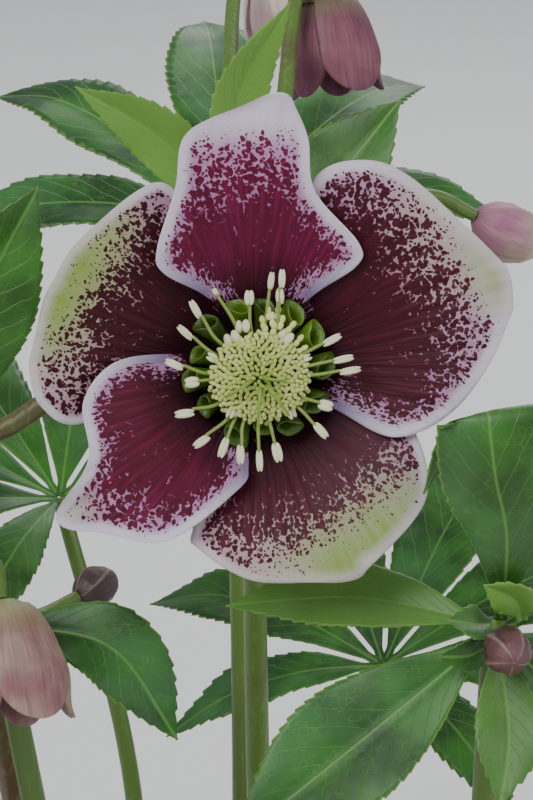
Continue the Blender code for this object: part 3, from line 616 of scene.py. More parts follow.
# %% [markdown]
# ## Stems, stalks and pedicels
# These are all round bars along a path. Geometry Nodes suit them: the paths go in as bare lines whose
# points carry a radius, the tree turns them into curves and sweeps a circle along them, and one tree
# serves every bar on the plant.

# %% Geometry Nodes helpers
def new_tree(name, **inputs):
    """An empty node tree whose inputs are its geometry and then the named ones."""
    tree = bpy.data.node_groups.new(name, "GeometryNodeTree")
    for label, kind in dict(Geometry="Geometry", **inputs).items():
        tree.interface.new_socket(label, in_out="INPUT", socket_type="NodeSocket" + kind)
    tree.interface.new_socket("Geometry", in_out="OUTPUT", socket_type="NodeSocketGeometry")
    return tree, add(tree, "NodeGroupInput").outputs


def end_tree(tree, geometry, finish):
    """Realize the copies, give them their finish and hand them out."""
    real = add(tree, "GeometryNodeRealizeInstances", {"Geometry": geometry}).outputs[0]
    smooth = add(tree, "GeometryNodeSetShadeSmooth", {"Geometry": real}).outputs[0]
    done = add(tree, "GeometryNodeSetMaterial", {"Geometry": smooth, "Material": finish}).outputs[0]
    add(tree, "NodeGroupOutput", {0: done})
    return tree


def carried(tree, name, kind):
    """A value that the points carry."""
    return add(tree, "GeometryNodeInputNamedAttribute", {"Name": name}, data_type=kind).outputs[0]


def grow(name, points, edges, marks, tree, values, replaced):
    """Run a tree on bare points and lines in mm, and keep the result as a plain mesh."""
    mesh = bpy.data.meshes.new(name + "_guide")
    mesh.from_pydata((np.asarray(points, float) * MM).tolist(), edges, [])
    for key, numbers in marks.items():
        numbers = np.asarray(numbers, np.float32)
        kind, field = ("FLOAT_VECTOR", "vector") if numbers.ndim == 2 else ("FLOAT", "value")
        mesh.attributes.new(key, kind, "POINT").data.foreach_set(field, numbers.ravel())
    piece = bpy.data.objects.new(name, mesh)
    bpy.context.scene.collection.objects.link(piece)
    modifier = piece.modifiers.new("grow", "NODES")
    modifier.node_group = tree
    for item in tree.interface.items_tree:
        if item.in_out == "INPUT" and item.name in values:
            modifier[item.identifier] = values[item.name]
    grown = piece.evaluated_get(bpy.context.evaluated_depsgraph_get())
    result = bpy.data.meshes.new_from_object(grown)
    piece.modifiers.remove(modifier)
    piece.data = result
    result.name = name
    settle(piece, replaced)


print("a tree is built by three helpers and run by a fourth")


# %% The bar tree
def bar_tree():
    """Sweep a circle along every line, with each point's own radius."""
    tree, given = new_tree("round bars", Sides="Int", Finish="Material")
    curves = add(tree, "GeometryNodeMeshToCurve", {"Mesh": given["Geometry"]}).outputs[0]
    ring = add(tree, "GeometryNodeCurvePrimitiveCircle", {"Resolution": given["Sides"], "Radius": 1.0})
    swept = add(tree, "GeometryNodeCurveToMesh", {
        "Curve": curves, "Profile Curve": ring.outputs[0], "Scale": carried(tree, "radius", "FLOAT"),
        "Fill Caps": True})
    return end_tree(tree, swept.outputs[0], given["Finish"])


bars = bar_tree()


def bar_piece(name, runs, finish, replaced, sides=14):
    """One piece from runs, each a path and its radius at each point in mm."""
    points, edges, radii = [], [], []
    for path, radius in runs:
        edges += [(start, start + 1) for start in range(len(points), len(points) + len(path) - 1)]
        points += path.tolist()
        radii += (np.broadcast_to(radius, len(path)) * MM).tolist()
    grow(name, points, edges, {"radius": radii}, bars, {"Sides": sides, "Finish": finish}, replaced)


print("bars have", len(bars.nodes), "nodes")

# %% [markdown]
# ## The stem finish
# Stems are pale green with fine lengthwise streaks, and flushed with pinkish brown where the light falls
# on them. The streaks are stretched along the height of the plant, because stems mostly rise.

# %% Stem finish
STEM_GREEN = (0.085, 0.17, 0.022)
STEM_FLUSH = (0.085, 0.05, 0.022)
STEM_STREAK = (0.20, 0.27, 0.07)


def stem_finish(name, flush):
    """Streaked green with a flush of brown, 0 to 1."""
    finish, in_mm = start_finish(name)
    streaks = noise(stretched(in_mm, (1.0, 1.0, 0.12)), 1.1, 4.0)
    body = blend(band(noise(in_mm, 0.06) + (flush - 0.5), 0.3, 0.7), STEM_GREEN, STEM_FLUSH)
    body = blend(band(streaks, 0.5, 0.75) * 0.35, body, STEM_STREAK)
    return end_finish(finish, body, streaks, 0.0002, roughness=0.42)


stem_green = stem_finish("stem_green", 0.3)
pedicel_brown = stem_finish("pedicel_brown", 0.62)
print("two stem finishes")

# %% Bars of stems and stalks
STEM_RADIUS = 2.4
STALK_RADIUS = 1.7
PEDICEL_RADIUS = 1.5
PEDICEL_END = 0.72
# Levels and radii of the knob on which the flower sits.
KNOB_LEVELS = [(-5.6, 1.5), (-4.4, 1.7), (-3.4, 2.2), (-2.6, 3.4), (-1.0, 3.5), (1.2, 3.5), (1.6, 3.1)]

for name, form in STEMS.items():
    whorl = on_view(form["whorl"])
    foot, middle, above = root_path(form["root"])
    main = np.vstack([[foot, middle], smooth_path([above, form["bend"], whorl], 40)])
    runs = [(main, STEM_RADIUS * np.linspace(1, 0.78, len(main)))]
    flowering = name == "flower_stem"
    for pedicel in form["pedicels"]:
        path = smooth_path([whorl, *on_view(pedicel)], 40)
        runs.append((path, PEDICEL_RADIUS * np.linspace(1.12, 1.0 if flowering else PEDICEL_END, len(path))))
    if flowering:
        levels, radii = np.array(KNOB_LEVELS).T
        runs.append((on_flower(0, 0, levels), radii))
    bar_piece(name + "_bars", runs, pedicel_brown if flowering else stem_green, name)
for number, stalk in enumerate(stalks, start=1):
    run = (stalk, STALK_RADIUS * np.linspace(1.15, 0.85, len(stalk)))
    bar_piece(f"basal_leaf_{number}_stalk", [run], stem_green, f"basal_leaf_{number}", 12)

# %% [markdown]
# ## Sepals
# What look like a hellebore's petals are sepals. Five of them overlap in three layers and make a shallow
# bowl. Each is a grid between its two margins, raised towards its rim, with a slightly rolled edge and
# very fine ridges that run out from the middle of the flower.

# %% The sepals' own outlines
SEPALS = {
    "sepal_top": dict(
        layer=1.2, curl=1.6,
        left=[(-2.5, 3), (-6.5, 10.2), (-13.4, 14.1), (-14.4, 17.6), (-11.6, 26.6), (-9.9, 34.4), (-0.5, 39)],
        right=[(2.5, 3), (8, 10.4), (15, 15.2), (15.2, 18.6), (8.8, 26.1), (7.8, 33.6), (5.6, 39)],
        tip=(3.6, 40.3)),
    "sepal_right": dict(
        layer=0.0, curl=0.0,
        left=[(0.5, 3.9), (4, 11), (5.5, 20), (9.4, 28.8), (16.5, 30.7), (23, 28.1), (31.4, 20.6),
              (36.4, 15.6)],
        right=[(2.4, -3), (7.5, -3.2), (12.5, -6.2), (20.5, -10), (28.4, -6.8), (34.4, 0.7), (37.9, 8.7)],
        tip=(37.6, 13.2)),
    "sepal_lower_right": dict(
        layer=-1.2, curl=-0.8,
        left=[(4, 0), (12, -1.5), (21, -6), (24.8, -12), (25.2, -19.2), (20, -26.1), (16.5, -28.6)],
        right=[(-1, -4), (-4, -12), (-9.2, -23.7), (-8.1, -26.6), (-0.5, -31.1), (9.5, -31.4)],
        tip=(15.0, -30.9)),
    "sepal_lower_left": dict(
        layer=1.2, curl=1.6,
        left=[(-1, -3.5), (-1.4, -8.7), (-0.9, -14.2), (-2.4, -17.7), (-12.9, -25.1), (-23.3, -23.7)],
        right=[(-3, 1), (-10.4, 2.3), (-20.3, 1.2), (-25.1, -4.8), (-24.3, -13.2), (-28.6, -20.2)],
        tip=(-28.1, -22.9)),
    "sepal_left": dict(
        layer=-1.2, curl=-0.8,
        left=[(-3.5, 0.5), (-12, -1), (-25.5, -8), (-31.5, -5.5), (-33.2, 0.2), (-32.3, 4.7)],
        right=[(-0.5, 3.9), (-4, 11), (-8, 20), (-12.4, 27), (-17.3, 26.3), (-26.3, 18.6), (-29.8, 12.7)],
        tip=(-31.3, 9.8)),
}
print(len(SEPALS), "sepals")

# %% [markdown]
# The colour of a hellebore sepal is a thicket of wine-red speckles on a pale ground. They merge into solid
# plum towards the middle of the flower and thin out to a pale rim. Where they thin out differs from sepal
# to sepal, so that is worked out at each point and carried as a mark called cover. Other marks say how
# rosy, green or creamy a place is. Two layers of cells in the finish make the speckles, and the cover
# sets how far each one swells.

# %% How each sepal is coloured
# The tip gives the radius at which the speckles end and how far inwards they thin out, the sides the same
# for the distance from the margins, and each tint is a patch: across, up, radius, strength.
SEPAL_COLOURS = {
    "sepal_top": dict(tip=(37.8, 19), sides=(0.6, 5.0), rose=1.0, green=[], cream=[]),
    "sepal_right": dict(tip=(38.2, 18), sides=(0.8, 5.4), rose=0.15,
                        green=[(33.5, 17, 4, 0.35), (36.5, 12.5, 4, 0.6)], cream=[(27, 18, 14, 0.55)]),
    "sepal_lower_right": dict(tip=(33.0, 17), sides=(0.6, 3.6), rose=0.25,
                              green=[(23, -20, 6, 0.5), (19, -25, 7, 0.75), (12, -29.5, 7, 0.8)],
                              cream=[(3, -28, 16, 0.55), (15, -17, 10, 0.35)]),
    "sepal_lower_left": dict(tip=(37.0, 18), sides=(0.6, 4.6), rose=0.7,
                             green=[(-27, -21, 5, 0.4)], cream=[]),
    "sepal_left": dict(tip=(36.0, 20), sides=(0.8, 2.6), rose=0.0,
                       green=[(-31, 5, 4, 0.6), (-29.5, 10, 5, 0.85), (-26, 15.5, 5.5, 0.85),
                              (-21.5, 21, 5, 0.6)],
                       cream=[(-27, 4, 12, 0.6), (-20, 16, 10, 0.5)]),
}
PALE_RIM = 2.2
# The radius inside which the plum is solid on every sepal, and how far inwards that sets in.
SOLID_REACH = 14
SOLID_FADE = 5
# How much a green patch thins the speckles on it.
GREEN_THINS = 0.85


def patch_strength(flat, patches):
    """How strongly soft round patches tint each place."""
    plain = np.ones(flat.shape[:-1])
    for across, up, radius, strength in patches:
        distance = np.linalg.norm(flat - np.array((across, up)), axis=-1)
        plain = plain * (1 - strength * np.exp(-(distance / radius) ** 2))
    return 1 - plain


def colour_marks(flat, reach, colours):
    """The marks of a sepal's finish, at places given across and up and by their distance from the middle."""
    rim = np.concatenate([flat[:, 0], flat[-1], flat[::-1, -1]])
    inset = np.linalg.norm(flat[:, :, None] - rim[None, None, ::2], axis=-1).min(-1)
    (tip_end, tip_fade), (side_start, side_fade) = colours["tip"], colours["sides"]
    cover = np.minimum((inset - side_start) / side_fade, (tip_end - reach) / tip_fade)
    cover = np.clip(np.maximum(cover, (SOLID_REACH - reach) / SOLID_FADE), 0, 1)
    green, cream = (patch_strength(flat, colours[tint]) for tint in ("green", "cream"))
    green = green * np.clip(inset / PALE_RIM, 0.2, 1)
    cover = cover * (1 - GREEN_THINS * green**1.5)
    return dict(cover=cover, reach=reach, green=green, cream=cream, rose=colours["rose"])


print("green tints on", sum(bool(form["green"]) for form in SEPAL_COLOURS.values()), "sepals")

# %% Sepal finish
SEPAL_HEART = (0.009, 0.0010, 0.0035)
SEPAL_WINE = (0.026, 0.0018, 0.0065)
SEPAL_MAROON = (0.033, 0.0010, 0.0038)
SEPAL_PLUM = (0.092, 0.0024, 0.022)
SEPAL_MAGENTA = (0.23, 0.008, 0.075)
GROUND_LILAC = (0.40, 0.20, 0.36)
GROUND_WHITE = (0.62, 0.56, 0.66)
GROUND_SHADE = (0.17, 0.12, 0.24)
GROUND_GREEN = (0.19, 0.29, 0.035)
GROUND_CREAM = (0.40, 0.36, 0.23)
BACK_ROSE = (0.45, 0.30, 0.36)
BACK_CREAM = (0.55, 0.45, 0.42)
# The scale of each layer of speckles, and how far they are stretched outwards.
SPECKLE_LAYERS = ((1.8, 0.5), (3.0, 0.6))


def speckles_of(density, wobbly):
    """Two layers of cells, each filled as far as the density and the cell's own chance say."""
    speckles = 0.0
    for scale, stretch in SPECKLE_LAYERS:
        drawn = stretched(wobbly, (1.0, stretch, 1.0))
        cells = add(drawn.tree, "ShaderNodeTexVoronoi", {"Vector": drawn, "Scale": scale, "Smoothness": 0.3},
                    feature="SMOOTH_F1").outputs
        chance = Value(drawn.tree, "ShaderNodeSeparateColor", {0: cells["Color"]})
        rough = (noise(drawn, scale * 2.0) - 0.5) * 0.22
        size = density * 0.86 + chance * 0.2 - 0.14 + rough
        speckles = highest(speckles, band(size - cells["Distance"], -0.06, 0.06))
    return speckles


def sepal_finish():
    """Speckles that merge towards the middle, on a ground that is pale at the rim."""
    finish, in_mm = start_finish("sepal_speckled")
    cover, reach, rose = marks_of(finish, "cover", "reach", "rose")
    green, cream, under = marks_of(finish, "green", "cream", "under")
    surface = surface_of(finish)
    streaks = noise(stretched(surface, (1.0, 0.06, 1.0)), 1.6, 3.0)
    uneven = ((streaks - 0.5) + (noise(in_mm, 0.4) - 0.5)) * (band(cover, 0.0, 0.2) * 0.55)
    density = cover * 0.7 + band(cover, 0.0, 0.3) * 0.3 + uneven
    speckles = speckles_of(density, moved(surface, noise(surface, 0.55, 1.0, output=1)))
    outer = blend(rose, SEPAL_MAROON, SEPAL_PLUM)
    deep = blend(band(reach, 7.0, 15.0), SEPAL_HEART, SEPAL_WINE)
    deep = blend(band(reach + noise(in_mm, 0.16, 3.0) * 10.0, 15.0, 25.0), deep, outer)
    glow = (rose * 0.36 + 0.12) * band(reach, 8.0, 22.0)
    deep = blend(band(streaks, 0.42, 0.72) * glow, deep, SEPAL_MAGENTA)
    ground = blend(band(reach, 11.0, 25.0), GROUND_SHADE, GROUND_WHITE)
    ground = blend(band(cover, 0.02, 0.35), ground, GROUND_LILAC)
    ground = blend(cream, ground, GROUND_CREAM)
    ground = blend(green * (streaks * 0.6 + 0.75), ground, GROUND_GREEN)
    ground = blend(band(cover, 0.45, 0.95) * 0.75, ground, SEPAL_MAGENTA)
    back = blend(band(streaks, 0.4, 0.7), BACK_ROSE, BACK_CREAM)
    colour = blend(under, blend(speckles, ground, deep), back)
    return end_finish(finish, colour, streaks, 0.00016, roughness=0.5, specular=0.22, depth_light=0.08,
                      depth_reach=(0.003, 0.001, 0.0015))


sepal_speckled = sepal_finish()
print("sepal finish with", len(sepal_speckled.node_tree.nodes), "nodes")

# %% Sepals
SEPAL_BASE_RADIUS = 3.85
CUP_RADIUS = 34.0
CUP_HEIGHT = 10.0
SEPAL_ROWS = 91
SEPAL_COLUMNS = 65
SEPAL_THICK = 0.7
# The radius at which the surface map is true to size.
MAP_RADIUS = 18

for name, form in SEPALS.items():
    left, right = (smooth_path(form[side], SEPAL_ROWS)[:, None] for side in ("left", "right"))
    along = np.linspace(0, 1, SEPAL_ROWS)[:, None]
    over = np.linspace(0, 1, SEPAL_COLUMNS)[None]
    flat = left * (1 - over[..., None]) + right * over[..., None]
    middle_end = (left[-1, 0] + right[-1, 0]) / 2
    flat = flat + (np.array(form["tip"]) - middle_end) * (along**4 * 4 * over * (1 - over))[..., None]
    reach = np.maximum(np.linalg.norm(flat, axis=-1), SEPAL_BASE_RADIUS)
    flat = unit(flat) * reach[..., None]
    turn = np.arctan2(flat[..., 1], flat[..., 0]) - math.atan2(form["tip"][1], form["tip"][0])
    turn = (turn + math.pi) % math.tau - math.pi
    edge = np.maximum(np.abs(2 * over - 1), along**6)
    cup = CUP_HEIGHT * (1 - np.cos(math.pi * np.minimum(reach / CUP_RADIUS, 1))) / 2
    ridges = 0.05 * np.sin(turn * 61) + 0.04 * np.sin(turn * 107 + reach * 0.2)
    ruffle = 0.32 * np.sin(turn * 13 + form["layer"] * 2) * edge**4 * np.clip((reach - 12) / 12, 0, 1)
    ridges = ridges * np.clip((reach - 5) / 8, 0, 1)
    height = form["layer"] + cup + form["curl"] * along * edge**3 + ridges + ruffle
    thick = SEPAL_THICK * (1 - 0.6 * edge**8) / 2
    front, back = (on_flower(flat[..., 0], flat[..., 1], height + offset) for offset in (thick, -thick))
    marks = colour_marks(flat, reach, SEPAL_COLOURS[name])
    part = sheet_part(front, back, np.stack([turn * MAP_RADIUS, reach], -1), marks)
    mesh_piece(name + "_surface", [part], sepal_speckled, name)

# %% [markdown]
# ## Turned shapes
# Buds, the heart's dome, the nectaries and small ovals are all turned: a profile of radius and height,
# swept round an axis. The caller may bend the radius with the angle, which is how a bud gets its
# overlapping sepals. The two ends lie on the axis and are closed with a fan of triangles.

# %% A turned shape along any axis
def axes_of(direction):
    """Three directions: one across, another across, and the given one."""
    ahead = Vector([float(part) for part in direction]).normalized()
    side = ahead.orthogonal().normalized()
    return np.array(side), np.array(ahead.cross(side)), np.array(ahead)


def round_axis(angles, side, other):
    """Directions at angles round an axis."""
    return np.cos(angles)[..., None] * side + np.sin(angles)[..., None] * other


def turned(profile, sides, base=(0, 0, 0), axis=(0, 0, 1), shape=None, marks=None):
    """A closed part turned from (radius, height) points that start and end on the axis, in mm."""
    side, other, ahead = axes_of(axis)
    profile = np.asarray(profile, float)
    angles = np.arange(sides) / sides * math.tau
    radius, height = (np.repeat(profile[1:-1, column:column + 1], sides, axis=1) for column in (0, 1))
    part = np.linspace(0, 1, len(radius))[:, None]
    if shape:
        radius, height = shape(radius, height, angles[None], part)
    rings = np.asarray(base) + radius[..., None] * round_axis(angles, side, other) + height[..., None] * ahead
    ends = np.asarray(base) + profile[[0, -1], 1:2] * ahead
    points = np.concatenate([ends, rings.reshape(-1, 3)])
    last = len(points) - sides
    faces = []
    for number in range(sides):
        after = (number + 1) % sides
        faces += [[0, 2 + after, 2 + number], [1, last + number, last + after]]
        faces += [[ring + number, ring + after, ring + sides + after, ring + sides + number]
                  for ring in range(2, last, sides)]
    given = dict(turn=angles / math.tau, rise=part, **(marks(angles[None], part) if marks else {}))
    flat = {key: np.concatenate([[0, 1], np.broadcast_to(values, radius.shape).ravel()])
            for key, values in given.items()}
    surface = [flat["turn"] * math.tau * profile[:, 0].max(), flat["rise"] * np.ptp(profile[:, 1])]
    return dict(points=points, faces=faces, map=np.stack(surface, -1), marks=flat)


print("a turned cone of 12 sides has", len(turned([(0, 0), (1, 0), (0, 1)], 12)["faces"]), "faces")

# %% [markdown]
# ## Small repeated forms
# The heart of the flower holds some two hundred anthers, and the compost hundreds of crumbs. One small
# form of a few dozen faces is made for each, and one Geometry Nodes tree sets it on every point of a
# cloud. Each point says which way the form points, which way it faces, how big it is and what tone it has.

# %% The scatter tree and the forms
def scatter_tree():
    """Set a form on every point, turned and scaled by the point's own values."""
    tree, given = new_tree("set forms", Form="Object", Finish="Material")
    form = add(tree, "GeometryNodeObjectInfo", {"Object": given["Form"]}).outputs["Geometry"]
    ahead, face, size = (carried(tree, name, "FLOAT_VECTOR") for name in ("ahead", "face", "size"))
    turn = add(tree, "FunctionNodeAxesToRotation", {0: ahead, 1: face}, primary_axis="Y", secondary_axis="Z")
    placed = add(tree, "GeometryNodeInstanceOnPoints", {
        "Points": given["Geometry"], "Instance": form, "Rotation": turn.outputs[0], "Scale": size})
    return end_tree(tree, placed.outputs[0], given["Finish"])


forms_on_points = scatter_tree()


def form_object(name, parts):
    """A small form in units of its own length, kept out of the scene."""
    points, faces = [], []
    for part in parts:
        faces += [[corner + len(points) for corner in face] for face in part["faces"]]
        points += part["points"].tolist()
    mesh = bpy.data.meshes.new(name)
    mesh.from_pydata(points, [], faces)
    return bpy.data.objects.new(name, mesh)


def scatter(name, points, ahead, face, size, tone, form, finish, replaced=None):
    """One piece of many small forms. Places and sizes are in mm."""
    marks = dict(ahead=ahead, face=face, size=np.asarray(size) * MM, tone=tone)
    grow(name, points, [], marks, forms_on_points, {"Form": form, "Finish": finish}, replaced)


def ball(sides, rings, stretch, offset):
    """An oval body stretched and moved: its profile is a half circle."""
    angles = np.linspace(0, math.pi, rings)
    part = turned(np.column_stack([np.sin(angles), -np.cos(angles)]), sides, axis=(0, 1, 0))
    part["points"] = part["points"] * stretch + offset
    return part


def twin(name, stretch, offset):
    """Two oval bodies side by side or end to end, which is what an anther is."""
    return form_object(name, [ball(8, 7, stretch, np.array(offset) * side) for side in (-1, 1)])


open_anther = twin("open_anther", (0.25, 0.5, 0.25), (0.15, 0, 0))
packed_anther = twin("packed_anther", (0.25, 0.31, 0.25), (0.0, 0.22, 0))
split_anther = twin("split_anther", (0.27, 0.48, 0.2), (0.24, 0.02, 0))
print("an anther form has", len(open_anther.data.polygons), "faces")

# %% [markdown]
# ## Finishes of the flower's heart
# Fresh anthers are yellow-green, and open ones go creamy white with pollen. The tone carried by each form
# runs between them. Filaments and styles are pale green, and nectaries a fresh apple green.

# %% Heart finishes
def toned_finish(name, dark, light, roughness):
    """A colour between two by the mark tone, with a fine grain."""
    finish, in_mm = start_finish(name)
    tone, = marks_of(finish, "tone")
    speck = noise(in_mm, 2.6, 3.0)
    body = blend(tone + (speck - 0.5) * 0.5, dark, light)
    return end_finish(finish, body, speck, 0.00012, roughness=roughness, depth_light=0.15,
                      depth_reach=(0.001, 0.001, 0.0005))


anther_cream = toned_finish("anther_cream", (0.15, 0.20, 0.018), (0.74, 0.74, 0.50), 0.6)
filament_green = toned_finish("filament_green", (0.22, 0.30, 0.06), (0.40, 0.46, 0.17), 0.4)
style_green = toned_finish("style_green", (0.20, 0.33, 0.04), (0.40, 0.50, 0.14), 0.4)
nectary_green = toned_finish("nectary_green", (0.008, 0.026, 0.002), (0.11, 0.21, 0.011), 0.35)
anther_green = toned_finish("anther_green", (0.24, 0.34, 0.02), (0.70, 0.72, 0.29), 0.6)
# Painted shade: a near-black green for the shaded depths between the packed anthers of the boss.
boss_painted_shade = toned_finish("boss_painted_shade", (0.014, 0.024, 0.003), (0.03, 0.05, 0.006), 0.7)
print("six heart finishes")

# %% [markdown]
# ## The boss of anthers
# The unopened stamens are packed into a dome. Their anthers follow the same spiral as the seeds of a
# sunflower: each next one turns by the golden angle and moves a little further out. A near-black green
# dome lies under them, painted shade for the depths between the anthers, so that no bright gap shows.

# %% Boss
BOSS_MIDDLE = np.array((0.7, -1.2))
BOSS_RADII = np.array((7.3, 6.5))
BOSS_LEVEL = 8.0
BOSS_HEIGHT = 3.9
BOSS_ANTHERS = 205
PACKED_SHAPE = np.array((1.0, 1.0, 1.1))
GOLDEN_ANGLE = math.pi * (3 - math.sqrt(5))


def boss_places(part, angle):
    """Places on the dome at a share of its radius, with the dome's outward and sideways directions there."""
    flat = BOSS_MIDDLE + BOSS_RADII * part[:, None] * np.stack([np.cos(angle), np.sin(angle)], -1)
    level = BOSS_LEVEL + BOSS_HEIGHT * np.sqrt(1 - part**2)
    lean = part / np.sqrt(1.02 - part**2) * BOSS_HEIGHT / BOSS_RADII.mean()
    aside = round_axis(angle, RIGHT, UP)
    return flat, level, unit(TOWARD + aside * lean[:, None]), aside


draw = np.random.default_rng(11)
number = np.arange(BOSS_ANTHERS)
part = np.minimum(0.03 + 0.97 * np.sqrt((number + 0.5) / BOSS_ANTHERS), 0.995)
flat, level, normal, aside = boss_places(part, number * GOLDEN_ANGLE)
wander = draw.normal(0, 0.4, (BOSS_ANTHERS, 1))
ahead = aside + np.cross(normal, aside) * wander
ahead = unit(ahead - normal * (ahead * normal).sum(-1, keepdims=True))
size = (1.32 + 0.34 * part[:, None] ** 2) * draw.uniform(0.88, 1.12, (BOSS_ANTHERS, 1)) * PACKED_SHAPE
tone = np.clip(0.15 + 0.6 * part**1.5 + draw.uniform(-0.12, 0.15, BOSS_ANTHERS), 0, 1)
scatter("boss_anthers", on_flower(*flat.T, level) + normal * 0.15, ahead, normal, size, tone, packed_anther,
        anther_green, "stamens")

# %% The dome under the anthers
DOME_FOOT = [(0, 5.0), (2.6, 5.0), (4.6, 6.4), (6.3, 7.4)]
DOME_RADIUS = 6.7
dome_profile = DOME_FOOT + [
    (DOME_RADIUS * math.cos(angle), BOSS_LEVEL - 0.3 + (BOSS_HEIGHT - 0.1) * math.sin(angle))
    for angle in np.linspace(0, math.pi / 2, 9)]
dome = turned(dome_profile, 40, on_flower(*BOSS_MIDDLE, 0), TOWARD, marks=lambda angle, part: dict(tone=0.1))
# The dome wears the painted-shade finish, which darkens the gaps between the anthers.
mesh_piece("boss_dome", [dome], boss_painted_shade, "stamens")

# %% [markdown]
# A few anthers on the boss are larger. Some have opened and rest on it, and a group of packed ones is
# heaped at its upper right. Where each lies is listed one by one.

# %% Anthers that lie on the boss
# Across and up from the flower's middle, width and length.
RESTING_ANTHERS = [
    (-3.3, 4.4, 2.7, 2.5), (-1.8, 6.3, 2.6, 2.1), (4.5, 4.8, 2.7, 2.3),
    (-6.2, 1.7, 1.3, 2.0), (7.3, 1.6, 1.2, 2.3), (-3.4, -6.2, 1.3, 2.3), (5.4, -6.4, 1.6, 1.9),
]
HEAPED_ANTHERS = [
    (1.5, 5.4, 1.9, 2.2), (2.8, 5.9, 2.0, 2.2), (1.2, 6.8, 1.9, 2.2), (2.6, 7.3, 2.0, 2.3),
    (3.9, 6.9, 1.9, 2.2), (2.0, 8.3, 1.9, 2.1), (3.4, 8.3, 1.9, 2.1), (5.3, 6.2, 1.9, 2.2),
    (6.4, 4.2, 1.8, 2.2), (6.9, 2.9, 1.7, 2.1),
]
REST_HEIGHT = 0.7


def anthers_on_boss(name, rows, form, tones, finish):
    """Large anthers that lie on the boss."""
    across, up, width, length = np.array(rows).T
    offset = (np.column_stack([across, up]) - BOSS_MIDDLE) / BOSS_RADII
    part = np.minimum(np.linalg.norm(offset, axis=1), 0.99)
    _, level, normal, aside = boss_places(part, np.arctan2(offset[:, 1], offset[:, 0]))
    tilt = draw.uniform(-0.8, 0.8, (len(rows), 1))
    ahead = unit(aside + np.cross(normal, aside) * tilt)
    size = np.column_stack([width, length, width])
    scatter(name, on_flower(across, up, level + REST_HEIGHT), ahead, normal, size,
            draw.uniform(*tones, len(rows)), form, finish, "stamens")


anthers_on_boss("resting_anthers", RESTING_ANTHERS, split_anther, (0.8, 1.0), anther_cream)
anthers_on_boss("heaped_anthers", HEAPED_ANTHERS, packed_anther, (0.7, 1.1), anther_green)

# %% [markdown]
# ## Open stamens
# The outer stamens have opened. Each leans out over the sepals on a thin pale filament and ends in an
# anther of two long lobes. Their uneven ring is what makes this flower look alive, so where each one ends
# is listed one by one too.

# %% Open stamens
# Across and up from the flower's middle, width and length.
LONG_STAMENS = [
    (-11.8, 0.7, 1.35, 3.0), (-10.2, 5.4, 1.3, 3.0), (-8.7, 8.8, 1.35, 3.1), (-5.8, 11.4, 0.9, 1.2),
    (-0.8, 10.5, 1.7, 2.3), (3.7, 10.7, 1.5, 2.4), (2.4, 13.0, 1.2, 2.7), (4.0, 13.3, 1.2, 2.9),
    (11.3, 4.3, 1.3, 3.2), (13.0, 1.5, 1.25, 3.2), (14.0, -0.2, 1.25, 3.3), (10.4, -5.3, 1.9, 2.3),
    (9.7, -9.0, 1.45, 2.9), (3.3, -12.2, 1.8, 3.0), (0.7, -13.4, 1.3, 3.4), (-2.1, -12.5, 1.4, 3.0),
    (-4.6, -11.5, 1.4, 3.2), (-7.8, -10.6, 1.45, 2.9), (-10.3, -6.5, 1.5, 3.0), (-9.2, -1.9, 1.9, 2.2),
]
FILAMENT_RADIUS = 0.27
FILAMENT_LEVELS = (6.9, 9.2, 9.7)
FILAMENT_START = 4.4
FILAMENT_STATIONS = 18

runs, ends, ahead = [], [], []
for number, (across, up, width, length) in enumerate(LONG_STAMENS):
    reach = math.hypot(across, up)
    out = np.array((across, up)) / reach
    start = out * FILAMENT_START + BOSS_MIDDLE * 0.7
    stop = out * (reach - length * 0.42)
    middle = (start + stop) / 2 + np.array((-out[1], out[0])) * draw.uniform(-0.9, 0.9)
    places = [on_flower(*place, level) for place, level in zip((start, middle, stop), FILAMENT_LEVELS)]
    path = smooth_path(places, FILAMENT_STATIONS)
    runs.append((path, FILAMENT_RADIUS * np.linspace(1.15, 0.9, FILAMENT_STATIONS)))
    ends.append(on_flower(across, up, 9.8 + 0.3 * math.sin(number * 2.1)))
    ahead.append(path[-1] - path[-4])
bar_piece("filaments", runs, filament_green, "stamens", 8)
face = unit(TOWARD + RIGHT * draw.uniform(-0.5, 0.5, (len(ends), 1)))
size = np.array([(width * 1.12, length, width) for *_, width, length in LONG_STAMENS])
scatter("long_anthers", ends, unit(np.array(ahead)), face, size, draw.uniform(0.85, 1.1, len(ends)),
        open_anther, anther_cream, "stamens")

# %% [markdown]
# ## Styles
# Four pale styles rise from the middle of the boss, arch over it and end in a point.

# %% Styles
# Where each style starts and ends on the flower's face, and the levels at shares of its length.
STYLES = [
    ((0.0, -1.4), (-4.3, -4.3)), ((0.9, -2.0), (0.4, -8.9)),
    ((1.6, -2.0), (5.1, -6.8)), ((1.0, -1.3), (4.7, -1.8)),
]
STYLE_LEVELS = ((0.0, 8.5), (0.15, 12.6), (0.5, 13.4), (1.0, 11.9))
STYLE_STATIONS = 26
style_radii = np.interp(np.linspace(0, 1, STYLE_STATIONS), (0, 0.5, 1), (0.45, 0.3, 0.15))
runs = []
for start, stop in np.array(STYLES):
    places = [on_flower(*(start + (stop - start) * part), level) for part, level in STYLE_LEVELS]
    runs.append((smooth_path(places, STYLE_STATIONS), style_radii))
bar_piece("styles", runs, style_green, "carpels", 10)

# %% [markdown]
# ## Nectaries
# Between the sepals and the stamens stands a ring of green tubes, which are the flower's true petals. Each
# is a little trumpet with a dark open mouth. The form is turned with an outer wall, a lip and an inner
# wall, and the scatter tree sets thirteen of them in a ring. A collar closes the ring's middle.

# %% Nectary ring
NECTARIES = 13
NECTARY_RADIUS = 3.5
NECTARY_LEVEL = 2.9
NECTARY_SHAPE = np.array((0.95, 1.0, 0.8))
